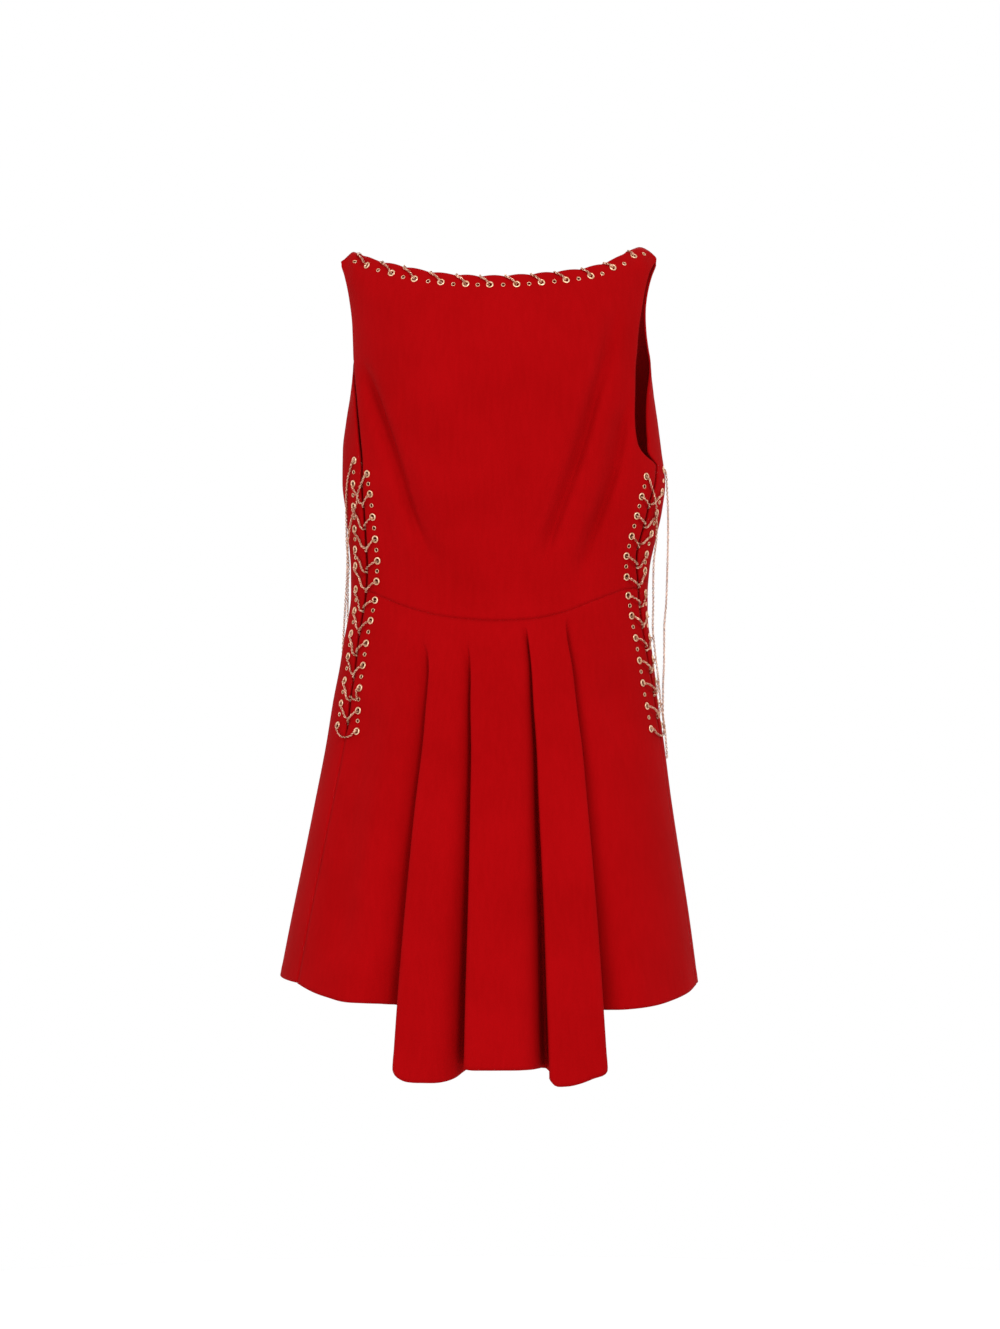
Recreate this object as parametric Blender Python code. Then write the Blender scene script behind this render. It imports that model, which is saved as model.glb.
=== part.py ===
"""Sleeveless mini dress with chain-laced sides, filled as if worn, with no wearer.

The back, whose hem dips to a pleated tail, faces -Y, X runs to the right of someone looking at the back, and Z is up.
The origin is the middle of the shoulder line, where the wearer holds the dress. Sizes here are in millimetres and
angles in degrees; the meshes are made in metres. Angle 0 is the middle of the back, 90 the right side (+X), 180 the
middle of the front.
"""
import math

import bpy
import numpy as np

MM = 0.001

# Driving sizes
WALL = 1.4            # cloth thickness
SET_BACK = 0.2        # each panel's edge from its seam line
HOLE = 4.4            # bore of a large eyelet
CHAIN = 2.0           # chain of the lacing and the neck
END_CHAIN = 2.4       # the lace's free ends
RIDE = 2.3            # chain's middle from the middle of the wall
CLEAR = 0.4           # between a lace and its free end
OPENING_END = -509.0  # height where the side opening ends in a seam
BLEND = 26.0          # how far under the shoulder seam the cloth keeps turning towards it
TILT = 2.5            # how much higher the right shoulder stands, and the left one lower

# Body sections: height, left side, right side, depth of the back, depth of the front
SECTIONS = [
    (3, -165, 165.5, 0, 0),
    (0, -165, 165.5, 4, 4),
    (-1, -165, 165.5, 9, 8),
    (-3, -165, 165.5, 20, 17),
    (-6, -165, 165.8, 31, 26),
    (-10, -165, 166, 41, 34),
    (-16, -164.2, 165.6, 52, 42),
    (-26, -161, 163, 65, 54),
    (-49, -156, 160, 80, 72),
    (-80, -152.3, 158.8, 89, 90),
    (-118, -151.3, 159.6, 96, 106),
    (-149, -154, 162.6, 98.5, 115),
    (-180, -158.8, 167, 98, 119),
    (-211, -162.4, 171, 96, 118),
    (-245, -162.8, 175, 93, 112),
    (-275, -159.3, 171.5, 89, 105),
    (-306, -156.2, 164.5, 84, 98),
    (-335, -154, 158.6, 80, 94),
    (-362, -153.8, 156.6, 78, 92),
    (-386, -156.6, 156.8, 80, 93.5),
    (-410, -161.2, 159.6, 86, 97),
    (-436, -165.2, 163.2, 94, 104),
    (-472, -172.2, 167, 103, 112),
    (-520, -180, 174, 114, 121),
    (-574, -190.5, 181, 125, 130),
    (-644, -204.5, 191.6, 138, 141),
    (-700, -216, 200.2, 147, 149),
    (-770, -229.5, 209.5, 157, 157),
    (-870, -247, 222, 170, 166),
]

# Top edge of the back, the shoulder seams at both ends: angle, height
NECK_BACK = [
    (-90, -13), (-78, -10.3), (-72, -6.4), (-67, -2.7), (-62.8, -4.5), (-51, -14), (-36.7, -23), (-25.9, -29.5),
    (-15.8, -33.4), (-5, -35), (2, -34.6), (11.8, -32.8), (21, -30), (31.6, -26), (40.4, -20), (50, -10),
    (58.9, 0), (64, 2.4), (72, -1), (80, -5.6), (90, -9.5),
]
# Top edge of the front, its angle counted from the middle of the front
NECK_FRONT = [
    (-90, -13), (-78, -10.3), (-72, -6.4), (-67, -2.7), (-62, -5.6), (-56, -9.2), (-50, -12.4), (-43, -15.2),
    (-36, -17.8), (-20, -22), (0, -24), (20, -21.6), (36, -16.2), (43, -12.8), (50, -8.2), (56, -3.4), (60, 0),
    (64, 2.4), (72, -1), (80, -5.6), (90, -9.5),
]
NECK_POINT_LEFT, NECK_POINT_RIGHT = -67.0, 64.0

# Waist seam: angle, height
WAIST_BACK = [
    (-90, -352), (-62, -358.5), (-49.5, -367), (-36, -377), (-23.3, -384.5), (-13, -388), (0, -390), (12, -388.5),
    (25.3, -381.5), (37, -371), (49, -362), (58, -357), (70, -354.6), (95, -353),
]
WAIST_FRONT = [(-120, -343), (-90, -346), (-40, -362), (0, -366), (40, -363), (90, -350), (110, -348)]

# Armhole and side edges of the back panels: height, left angle, right angle
EDGE_BACK = [
    (-9, -89.4, 89.4), (-13, -88.4, 84), (-17, -87.4, 78), (-41, -87.8, 72.8), (-66, -87.9, 69.4), (-90, -87.8, 66.2),
    (-108, -87, 64.6), (-125, -81.6, 62.6), (-151, -72.8, 60.2), (-180, -65.4, 57.8), (-195, -62.6, 57.2),
    (-206, -61, 57.6), (-213, -60.3, 59.3), (-218, -60, 62), (-222, -59.8, 65.6), (-227, -59.7, 70.6),
    (-236, -59.7, 69.1), (-250, -60, 67.2), (-264, -60.4, 64.5), (-293, -60.9, 63), (-316, -61.2, 62),
    (-335, -61.3, 64.3), (-356, -61.8, 67.6), (-374, -63, 69), (-390, -63.3, 71), (-424, -62.8, 72.4),
    (-440, -62.3, 73.6), (-464, -61.9, 76), (-500, -62, 76.8),
]
# Armhole edge of the front bodice, angle from the back as above
ARMHOLE_FRONT = [
    (-9, -90.6, 90.6), (-13, -92.5, 91), (-20, -96, 95), (-35, -106, 100), (-60, -114, 103), (-85, -112, 101),
    (-103, -103, 97), (-118, -92.5, 90), (-130, -85.5, 82.5), (-150, -76.5, 73.5), (-180, -68.8, 67.5),
    (-200, -65.4, 66.2), (-213, -63.8, 66.6), (-221, -63, 70), (-228, -62.8, 74),
]
SIDE_SEAM = [(-512, -63.2, 78), (-600, -63.6, 79), (-760, -64, 80)]
GAP = 5.4             # width of the side opening, along the cloth

# Large eyelets of the sides, from the top: left row on the back, left row on the front, then the same at the right,
# each as angle, height
LACE_ROWS = [
    (-56.8, -237.6, -66.7, -223.0, 60.9, -240.1, 82.5, -231.6),
    (-55.5, -258.4, -67.8, -247.1, 58.2, -260.9, 77.9, -254.5),
    (-55.8, -282.1, -70.0, -270.4, 56.8, -280.9, 74.2, -276.8),
    (-55.3, -305.1, -71.5, -293.7, 56.2, -302.0, 73.4, -298.5),
    (-54.6, -327.6, -73.0, -314.9, 55.4, -322.5, 73.0, -319.8),
    (-55.0, -348.9, -74.2, -332.0, 57.4, -344.2, 74.6, -337.0),
    (-55.8, -368.4, -73.9, -356.5, 59.3, -363.6, 79.0, -360.4),
    (-57.0, -389.7, -73.4, -379.0, 62.0, -384.5, 81.6, -383.0),
    (-57.4, -413.3, -72.6, -402.8, 63.6, -407.7, 82.8, -406.0),
    (-57.5, -436.3, -71.7, -426.7, 64.3, -431.1, 83.8, -429.0),
    (-57.2, -459.6, -70.8, -451.7, 65.3, -454.5, 85.6, -452.0),
    (-56.9, -483.0, -70.2, -475.6, 67.0, -478.4, 87.0, -475.0),
    (-56.6, -504.4, -70.6, -498.4, 67.8, -502.1, 87.4, -498.6),
]

# Large eyelets under the neck edge of the back, and where each one's stitch crosses that edge: angle, height, crossing
NECK_EYELETS_BACK = [
    (58.5, -9.0, 54.5), (46.6, -23.3, 41.4), (36.1, -33.5, 31.8), (25.5, -38.7, 20.8), (15.7, -41.8, 11.8),
    (6.3, -44.0, 2.3), (-3.7, -44.4, -7.0), (-12.7, -43.4, -15.8), (-22.3, -41.1, -25.9), (-33.3, -36.8, -36.7),
    (-43.7, -29.5, -47.0), (-56.6, -19.5, -61.0),
]
FRONT_EYELET_DROP = 9.5       # under the front's neck edge
FRONT_EYELET_ANGLES = (-54.5, -44.5, -34.5, -24.5, -14.5, -4.8, 4.8, 14.5, 24.5, 34.5, 44.5, 54.5)
FRONT_STITCH_LEAD = 4.6       # from each eyelet to its crossing

# Soft folds pressed into the cloth: how deep, how wide (1 sigma), then the run of the fold as angle, height
FOLDS = [
    (4.2, 9.0, [(-68, -120), (-45.4, -204), (-39.2, -237), (-31.7, -294), (-25, -340)]),
    (3.4, 8.0, [(50, -66), (44.4, -121), (36.4, -168), (27.1, -225), (21.1, -266), (16.5, -320)]),
    (3.8, 9.0, [(52, -168), (43.4, -226), (38.9, -271), (35.8, -309), (32.2, -350)]),
    (2.0, 14.0, [(-50, -270), (-46, -320), (-38, -356)]),
    (4.5, 17.0, [(-53, -470), (-52.4, -565), (-44.3, -742)]),
    (3.5, 16.0, [(42, -440), (41.5, -574), (43, -740)]),
    (4.0, 12.0, [(222, -120), (208, -230), (200, -320)]),
    (3.6, 12.0, [(136, -120), (150, -230), (160, -320)]),
    (5.0, 22.0, [(150, -400), (146, -560), (142, -740)]),
    (5.0, 22.0, [(212, -400), (214, -560), (218, -740)]),
    (4.0, 22.0, [(182, -420), (181, -560), (180, -730)]),
]

# Pleats of the back skirt: name, side of the edge that the folded panel is on, then its edge as angle at four heights
PLEAT_HEIGHTS = (-390, -472, -600, -845)
PLEATS = [
    ("left outer", 1, (-26.2, -24.5, -25.2, -24.2)),
    ("left inner", 1, (-10.2, -8.5, -6.8, -5.4)),
    ("right inner", 1, (11.2, 13.5, 15.0, 16.5)),
    ("right outer", -1, (25.7, 29.1, 31.3, 32.2)),
]
PLEAT_DEPTH_TOP, PLEAT_DEPTH_HEM = 5.0, 36.0
PLEAT_WIDTH_TOP, PLEAT_WIDTH_HEM = 4.0, 11.0
# Cross-section of one pleat: along the cloth from its edge in widths (minus is the receding side), share of the depth
PLEAT_SHAPE = [
    (-3.0, 0.0), (-1.8, 0.16), (-0.9, 0.48), (-0.25, 0.86), (0.3, 1.0), (0.48, 0.78), (0.16, 0.36), (0.0, 0.05),
    (0.28, 0.0),
]
# Hem height of each of those points, a row for each pleat
PLEAT_HEMS = [
    (-779, -780, -781, -784, -797, -812, -829, -845, -850),
    (-857, -857, -854, -848, -844, -843, -843, -843, -843.5),
    (-844, -844, -844, -845, -846, -848, -851, -855, -859.5),
    (-786, -787, -787.5, -789, -800, -814, -830, -847, -850),
]
# Hem between the pleats: columns of each stretch, each with its share of the way across and its height
HEM_STRETCHES = [
    [(0.0, -764.5), (0.27, -769), (0.52, -773), (0.76, -776)],
    [(0.33, -855.5), (0.7, -857)],
    [(0.33, -844), (0.67, -844)],
    [(0.22, -861), (0.5, -858.5), (0.76, -854)],
    [(0.22, -784), (0.45, -780), (0.72, -775), (1.0, -769)],
]
HEM_FRONT = [(-120, -764.5), (-90, -760), (-60, -752), (-30, -746), (0, -744), (30, -748), (60, -757), (90, -767),
             (110, -769)]

RED = (0.42, 0.002, 0.004, 1.0)
BRASS = (0.62, 0.36, 0.16, 1.0)


def through(rows, column=1):
    """A smooth function through a table's rows that never overshoots them; column 0 says where."""
    rows = sorted(rows)
    knots = np.array([row[0] for row in rows], float)
    values = np.array([row[column] for row in rows], float)
    steps = np.diff(knots)
    slopes = np.diff(values) / steps
    bends = np.empty(len(knots))
    bends[0], bends[-1] = slopes[0], slopes[-1]
    for i in range(1, len(knots) - 1):
        a, b = slopes[i - 1], slopes[i]
        w1, w2 = 2 * steps[i] + steps[i - 1], steps[i] + 2 * steps[i - 1]
        bends[i] = 0.0 if a * b <= 0 else (w1 + w2) / (w1 / a + w2 / b)

    def at(where):
        where = np.clip(np.asarray(where, float), knots[0], knots[-1])
        i = np.clip(np.searchsorted(knots, where, side="right") - 1, 0, len(steps) - 1)
        t = (where - knots[i]) / steps[i]
        return ((2 * t**3 - 3 * t**2 + 1) * values[i] + (t**3 - 2 * t**2 + t) * steps[i] * bends[i]
                + (3 * t**2 - 2 * t**3) * values[i + 1] + (t**3 - t**2) * steps[i] * bends[i + 1])

    return at


def smooth_step(t):
    t = np.clip(t, 0.0, 1.0)
    return t * t * (3 - 2 * t)


left_side, right_side, back_depth, front_depth = (through(SECTIONS, i) for i in (1, 2, 3, 4))
neck_back, neck_front = through(NECK_BACK), through(NECK_FRONT)
waist_back, waist_front = through(WAIST_BACK), through(WAIST_FRONT)
back_left, back_right = through(EDGE_BACK, 1), through(EDGE_BACK, 2)
armhole_left, armhole_right = through(ARMHOLE_FRONT, 1), through(ARMHOLE_FRONT, 2)
seam_left, seam_right = through(SIDE_SEAM, 1), through(SIDE_SEAM, 2)
fold_runs = [(depth, width, through([(z, a) for a, z in run]), run[-1][1], run[0][1]) for depth, width, run in FOLDS]


def mm_per_degree(angle, z):
    """Length along the cloth of one degree round the body."""
    a = (right_side(z) - left_side(z)) / 2
    co, si = np.cos(np.radians(angle)), np.sin(np.radians(angle))
    b = np.where(co > 0, back_depth(z), front_depth(z))
    return np.hypot(a * co, b * si) * math.pi / 180


def side_edge(side, z, panel):
    """Angle of a panel's edge at one side, -1 left and 1 right: armhole, side opening, then side seam."""
    z = np.asarray(z, float)
    back = (back_left if side < 0 else back_right)(z)
    seam = (seam_left if side < 0 else seam_right)(z)
    scale = mm_per_degree(back, z)
    closing = smooth_step((OPENING_END + 9 - z) / 12)
    if panel == "back":
        return back * (1 - closing) + (seam - side * SET_BACK / scale) * closing
    gap = back + side * GAP / scale
    armhole = (armhole_left if side < 0 else armhole_right)(z)
    joined = np.where(z > -228, armhole, gap)
    return joined * (1 - closing) + (seam + side * SET_BACK / scale) * closing


def oval_depth(co, si, z):
    """Depth of the oval at a height, behind or in front, with the shoulders' tilt."""
    z = z - TILT * si
    return np.where(co > 0, back_depth(z), front_depth(z))


def body(angle, z):
    """Middle of the cloth: an oval with its own depth at back and front, drawn in to the shoulder seams and folded."""
    angle, z = np.broadcast_arrays(np.asarray(angle, float), np.asarray(z, float))
    left, right = left_side(z), right_side(z)
    a, c = (right - left) / 2, (right + left) / 2
    co, si = np.cos(np.radians(angle)), np.sin(np.radians(angle))
    b = oval_depth(co, si, z)
    x, y = c + a * si, -b * co
    across = np.degrees(np.arcsin(np.clip(si, -1, 1)))
    seam_height = neck_back(across)
    near_top = 1 - smooth_step((seam_height - z) / BLEND)
    at_shoulder = smooth_step((np.abs(across) - 54) / 11)
    at_seam = -co * oval_depth(co, si, seam_height)
    y = y - at_seam * near_top * at_shoulder
    out = np.stack([si * b, -co * a], -1)
    out = out / np.maximum(np.linalg.norm(out, axis=-1, keepdims=True), 1e-9)
    inward = np.zeros(np.shape(x))
    for depth, width, run, low, high in fold_runs:
        off = (angle - run(z) + 180) % 360 - 180
        reach = off * mm_per_degree(angle, z) / width
        fade = smooth_step((high + 15 - z) / 45) * smooth_step((z - low + 15) / 40)
        inward = inward + depth * fade * np.exp(-0.5 * reach**2)
    return np.stack([x - out[..., 0] * inward, y - out[..., 1] * inward, z * np.ones_like(x)], -1)


def skin_frame(angle, z):
    """Point on the cloth, with its outward normal and the direction up along the cloth."""
    point = body(angle, z)
    around = body(angle + 0.5, z) - body(angle - 0.5, z)
    up = body(angle, z + 0.8) - body(angle, z - 0.8)
    normal = np.cross(around, up)
    normal = normal / np.linalg.norm(normal, axis=-1, keepdims=True)
    return point, normal, up / np.linalg.norm(up, axis=-1, keepdims=True)


def over(angle, z, lift):
    """Point at a distance outside the middle of the cloth, or inside it where the lift is negative."""
    point, normal, _ = skin_frame(angle, z)
    return point + normal * lift


def make_material(name, colour, roughness, metallic):
    material = bpy.data.materials.new(name)
    material.use_nodes = True
    shader = material.node_tree.nodes["Principled BSDF"]
    shader.inputs["Base Color"].default_value = colour
    shader.inputs["Roughness"].default_value = roughness
    shader.inputs["Metallic"].default_value = metallic
    return material


def add_mesh(name, points, faces, material):
    """An object of the given points in millimetres, at the origin."""
    mesh = bpy.data.meshes.new(name)
    mesh.from_pydata((np.asarray(points) * MM).tolist(), [], faces)
    mesh.validate()
    if material:
        mesh.materials.append(material)
    thing = bpy.data.objects.new(name, mesh)
    bpy.context.collection.objects.link(thing)
    return thing


def grid_normals(grid):
    """Outward normals of a grid whose rows climb and whose columns run with the angle."""
    across = np.gradient(grid, axis=1)
    up = np.gradient(grid, axis=0)
    normal = np.cross(across, up)
    return normal / np.linalg.norm(normal, axis=-1, keepdims=True)


def add_wall(name, grid, normals, material):
    """Closed wall round a grid of points in the middle of the cloth."""
    rows, columns = grid.shape[:2]
    outer, inner = grid + normals * WALL / 2, grid - normals * WALL / 2
    points = np.concatenate([outer.reshape(-1, 3), inner.reshape(-1, 3)])
    far = rows * columns
    faces = []
    for r in range(rows - 1):
        for c in range(columns - 1):
            a, b = r * columns + c, r * columns + c + 1
            d, e = a + columns, b + columns
            faces += [(a, b, e, d), (far + a, far + d, far + e, far + b)]
    rim = [c for c in range(columns)]
    rim += [r * columns + columns - 1 for r in range(1, rows)]
    rim += [(rows - 1) * columns + c for c in range(columns - 2, -1, -1)]
    rim += [r * columns for r in range(rows - 2, 0, -1)]
    for a, b in zip(rim, rim[1:] + rim[:1]):
        faces.append((b, a, far + a, far + b))
    return add_mesh(name, points, faces, material)


def bodice(name, panel, low, high, columns, rows, material):
    """Panel from the waist seam up to the neck edge and the shoulder seams."""
    if panel == "back":
        at_left, at_right = (lambda z: side_edge(-1, z, panel)), (lambda z: side_edge(1, z, panel))
    else:
        at_left, at_right = (lambda z: -180 - side_edge(-1, z, panel)), (lambda z: 180 - side_edge(1, z, panel))

    def edge_point(height_of, share):
        z = np.full(share.shape, -200.0) if height_of is low else np.full(share.shape, -12.0)
        for _ in range(12):
            angle = at_left(z) + (at_right(z) - at_left(z)) * share
            z = height_of(angle)
        return z

    bottom, top = edge_point(low, columns), edge_point(high, columns)
    seam = (at_left(bottom) + (at_right(bottom) - at_left(bottom)) * columns, bottom - SET_BACK)
    bottom = bottom + SET_BACK
    z = bottom + (top - bottom) * rows[:, None]
    angle = at_left(z) + (at_right(z) - at_left(z)) * columns
    whole = angle if panel == "back" else 180 - angle
    grid = body(whole, z)
    if panel == "front":
        grid = grid[:, ::-1]
    normals = grid_normals(grid)
    shoulder = (angle[-1] <= NECK_POINT_LEFT + 0.4) | (angle[-1] >= NECK_POINT_RIGHT - 0.4)
    if panel == "front":
        shoulder = shoulder[::-1]
    # Near the shoulder seam the wall stays on its own side of the seam's plane
    own_side = -1.0 if panel == "back" else 1.0
    clear = SET_BACK + np.abs(normals[..., 1]) * WALL / 2
    beside = np.abs(angle[-1] + 1.5) > 54
    near_seam = (beside if panel == "back" else beside[::-1]) & (grid[..., 2] > -30)
    grid[..., 1] = np.where(near_seam, own_side * np.maximum(own_side * grid[..., 1], clear), grid[..., 1])
    grid[-1, shoulder, 1] = own_side * SET_BACK
    normals[-1, shoulder, 1] = 0.0
    normals[0, :, 2] = 0.0
    normals /= np.linalg.norm(normals, axis=-1, keepdims=True)
    return add_wall(name, grid, normals, material), lambda angle: np.interp(angle, *seam)


def neck_shares(count, beside):
    """Shares across a bodice at which its columns stand, one of them at each neck point and closer near there."""
    left, right = 0.5 + NECK_POINT_LEFT / 180, 0.5 + NECK_POINT_RIGHT / 180
    even = np.linspace(0, 1, count)
    eased = 0.6 * even + 0.4 * (0.5 - 0.5 * np.cos(math.pi * even))
    side = np.linspace(0, 1, beside + 1)[:-1]
    return np.concatenate([left * side, left + (right - left) * eased, 1 - (1 - right) * side[::-1]])


def pleat_size(z):
    """Depth and width of a pleat at a height."""
    t = np.clip((-390 - np.asarray(z, float)) / 455, 0, 1)
    return (PLEAT_DEPTH_TOP + (PLEAT_DEPTH_HEM - PLEAT_DEPTH_TOP) * t**0.9,
            PLEAT_WIDTH_TOP + (PLEAT_WIDTH_HEM - PLEAT_WIDTH_TOP) * t)


pleat_edges = [through(list(zip(PLEAT_HEIGHTS, angles))) for _, _, angles in PLEATS]


def back_skirt_columns():
    """Columns of the back skirt from left to right: angle as a function of height, share of the depth, hem height."""
    def pleat_point(i, k):
        along, share = PLEAT_SHAPE[k]
        side = PLEATS[i][1]

        def angle(z):
            edge = pleat_edges[i](z)
            return edge + side * along * pleat_size(z)[1] / mm_per_degree(edge, z)

        return angle, share, PLEAT_HEMS[i][k]

    groups = []
    for i in range(len(PLEATS)):
        points = [pleat_point(i, k) for k in range(len(PLEAT_SHAPE))]
        groups.append(points if PLEATS[i][1] > 0 else points[::-1])
    left, right = (lambda z: side_edge(-1, z, "back")), (lambda z: side_edge(1, z, "back"))
    columns = []
    for i, stretch in enumerate(HEM_STRETCHES):
        start = groups[i - 1][-1][0] if i else left
        end = groups[i][0][0] if i < len(groups) else right
        for share, hem in stretch:
            columns.append((lambda z, s=share, p=start, q=end: p(z) + (q(z) - p(z)) * s, 0.0, hem))
        if i < len(groups):
            columns += groups[i]
    return columns


def back_skirt(name, waist, rows, material):
    grid = []
    for angle_at, share, hem in back_skirt_columns():
        top = -375.0
        for _ in range(12):
            top = float(waist(angle_at(top)))
        z = top + (hem - top) * rows
        angle = angle_at(z)
        point = body(angle, z)
        out = body(angle + 0.5, z) - body(angle - 0.5, z)
        out = np.stack([out[:, 1], -out[:, 0], 0 * z], -1)
        out /= np.linalg.norm(out, axis=-1, keepdims=True)
        grid.append(point - out * (share * pleat_size(z)[0])[:, None])
    grid = np.stack(grid, 1)[::-1]
    normals = grid_normals(grid)
    normals[-1, :, 2] = 0.0
    normals /= np.linalg.norm(normals, axis=-1, keepdims=True)
    return add_wall(name, grid, normals, material)


def front_skirt(name, waist, shares, rows, material):
    hem = through(HEM_FRONT)
    left, right = (lambda z: -180 - side_edge(-1, z, "front")), (lambda z: 180 - side_edge(1, z, "front"))
    ends = []
    for height_of, z in ((waist, -360.0), (hem, -760.0)):
        z = np.full(shares.shape, z)
        for _ in range(12):
            z = height_of(left(z) + (right(z) - left(z)) * shares)
        ends.append(z)
    top, bottom = ends
    z = (top + (bottom - top) * rows[:, None])[::-1]
    angle = left(z) + (right(z) - left(z)) * shares
    grid = body(180 - angle, z)[:, ::-1]
    normals = grid_normals(grid)
    normals[-1, :, 2] = 0.0
    normals /= np.linalg.norm(normals, axis=-1, keepdims=True)
    return add_wall(name, grid, normals, material)


def pierce(panel, places):
    """Bore the large eyelets' holes through a panel, square to the cloth."""
    points, faces = [], []
    sides, reach = 6, 4.0
    for angle, z in places:
        middle, normal, up = skin_frame(angle, z)
        across = np.cross(up, normal)
        first = len(points)
        for end in (-reach, reach):
            for k in range(sides):
                turn = 2 * math.pi * k / sides
                points.append(middle + normal * end + (across * math.cos(turn) + up * math.sin(turn)) * HOLE / 2)
        faces.append([first + k for k in range(sides)][::-1])
        faces.append([first + sides + k for k in range(sides)])
        for k in range(sides):
            n = (k + 1) % sides
            faces.append([first + k, first + n, first + sides + n, first + sides + k])
    cutter = add_mesh(panel.name + "_bores", points, faces, None)
    cutter.hide_render = True
    cutter.display_type = "WIRE"
    bores = panel.modifiers.new("Bores", "BOOLEAN")
    bores.operation = "DIFFERENCE"
    bores.object = cutter
    bores.solver = "EXACT"


def add_tube(name, path, diameter, material, closed=False, sides=5):
    """Round bar along a path; its rings are carried along without twist, and on a closed path meet where they began."""
    path = np.asarray(path, float)
    count = len(path)
    after, before = np.roll(path, -1, 0) - path, path - np.roll(path, 1, 0)
    if not closed:
        after[-1], before[0] = before[-1], after[0]
    after /= np.linalg.norm(after, axis=1, keepdims=True)
    before /= np.linalg.norm(before, axis=1, keepdims=True)
    tangents = after + before
    tangents /= np.linalg.norm(tangents, axis=1, keepdims=True)
    start = np.cross(tangents[0], (0.0, 0.0, 1.0) if abs(tangents[0][2]) < 0.9 else (1.0, 0.0, 0.0))
    start /= np.linalg.norm(start)
    carried = [start]
    for i in range(1, count + (1 if closed else 0)):
        t = tangents[i % count]
        v = carried[-1] - t * np.dot(carried[-1], t)
        carried.append(v / np.linalg.norm(v))
    twist = 0.0
    if closed:
        last = carried.pop()
        twist = -math.atan2(np.dot(np.cross(start, last), tangents[0]), np.dot(start, last))
    points, faces = [], []
    for i in range(count):
        one, two = carried[i], np.cross(tangents[i], carried[i])
        for k in range(sides):
            turn = 2 * math.pi * k / sides + twist * i / count
            points.append(path[i] + (one * math.cos(turn) + two * math.sin(turn)) * diameter / 2)
    for i in range(count if closed else count - 1):
        a, b = i * sides, (i + 1) % count * sides
        for k in range(sides):
            n = (k + 1) % sides
            faces.append((a + k, a + n, b + n, b + k))
    if not closed:
        faces += [tuple(range(sides))[::-1], tuple((count - 1) * sides + k for k in range(sides))]
    return add_mesh(name, points, faces, material)


def smooth_route(route, spacing):
    """Evenly spaced points of a smooth curve through a route's own points."""
    route = np.asarray(route, float)
    walked = np.concatenate([[0], np.cumsum(np.linalg.norm(np.diff(route, axis=0), axis=1))])
    lines = [through(list(zip(walked, route[:, i]))) for i in range(3)]
    count = max(2, int(round(walked[-1] / spacing)) + 1)
    where = np.linspace(0, walked[-1], count)
    return np.stack([line(where) for line in lines], 1)


def add_cord(name, route, material):
    """Free end of a lace: a round bar on a smooth curve."""
    points = smooth_route(route, 3 * END_CHAIN)
    curve = bpy.data.curves.new(name, "CURVE")
    curve.dimensions = "3D"
    curve.bevel_depth = END_CHAIN / 2 * MM
    curve.bevel_resolution = 2
    curve.use_fill_caps = True
    spline = curve.splines.new("POLY")
    spline.points.add(len(points) - 1)
    for p, q in zip(spline.points, points):
        p.co = (q[0] * MM, q[1] * MM, q[2] * MM, 1.0)
    curve.materials.append(material)
    thing = bpy.data.objects.new(name, curve)
    bpy.context.collection.objects.link(thing)
    return thing


def front_neck_eyelets():
    """Angle, height and crossing of the front's eyelets, in the order in which the chain meets them."""
    found = []
    for across in FRONT_EYELET_ANGLES:
        crossing = min(across + FRONT_STITCH_LEAD, NECK_POINT_RIGHT - 2)
        found.append((across, float(neck_front(across)) - FRONT_EYELET_DROP, crossing))
    return found


def neck_stitch(hole_angle, hole_z, crossing_angle, edge_height):
    """Out through an eyelet, up the outside, over the edge and a little way down the inside."""
    crossing_z = float(edge_height(crossing_angle))
    edge, normal, up = skin_frame(crossing_angle, crossing_z)
    along = body(crossing_angle + 1, edge_height(crossing_angle + 1)) - body(
        crossing_angle - 1, edge_height(crossing_angle - 1))
    square = np.cross(normal, along)
    square /= np.linalg.norm(square)
    up = square if np.dot(square, up) > 0 else -square
    steps = ((RIDE + 0.2, -0.4), (RIDE * 0.85, 2.0), (0.0, 3.0), (-RIDE, 2.4), (-RIDE - 1.1, -0.6))
    half_way = over((hole_angle + crossing_angle) / 2, (hole_z + crossing_z) / 2, RIDE + 0.3)
    return [over(hole_angle, hole_z, -RIDE - 0.9), over(hole_angle, hole_z, RIDE + 0.2), half_way] + [
        edge + normal * a + up * b for a, b in steps]


def neck_chain_path():
    path = []
    for angle, z, crossing in NECK_EYELETS_BACK:
        path += neck_stitch(angle, z, crossing, neck_back)
    for across, z, crossing in front_neck_eyelets():
        path += neck_stitch(180 - across, z, 180 - crossing, lambda angle: neck_front(180 - angle))
    return path


def lace_levels(side):
    """The two rows of eyelets of a side as (angle, height) lists, the one on the back first."""
    first = 0 if side < 0 else 4
    return ([row[first:first + 2] for row in LACE_ROWS], [row[first + 2:first + 4] for row in LACE_ROWS])


def lace_start(side, place):
    """Where a lace's free end leaves its top eyelet, as angle, height and lift, and a point half way there."""
    angle, z = place
    return (angle + side * 1.3, z - 3.2, RIDE + 0.2), (angle + side * 0.5, z - 1.2, RIDE + 0.2)


def gap_middle(side, z):
    return (float(side_edge(side, z, "back")) + float(side_edge(side, z, "front"))) / 2


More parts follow.
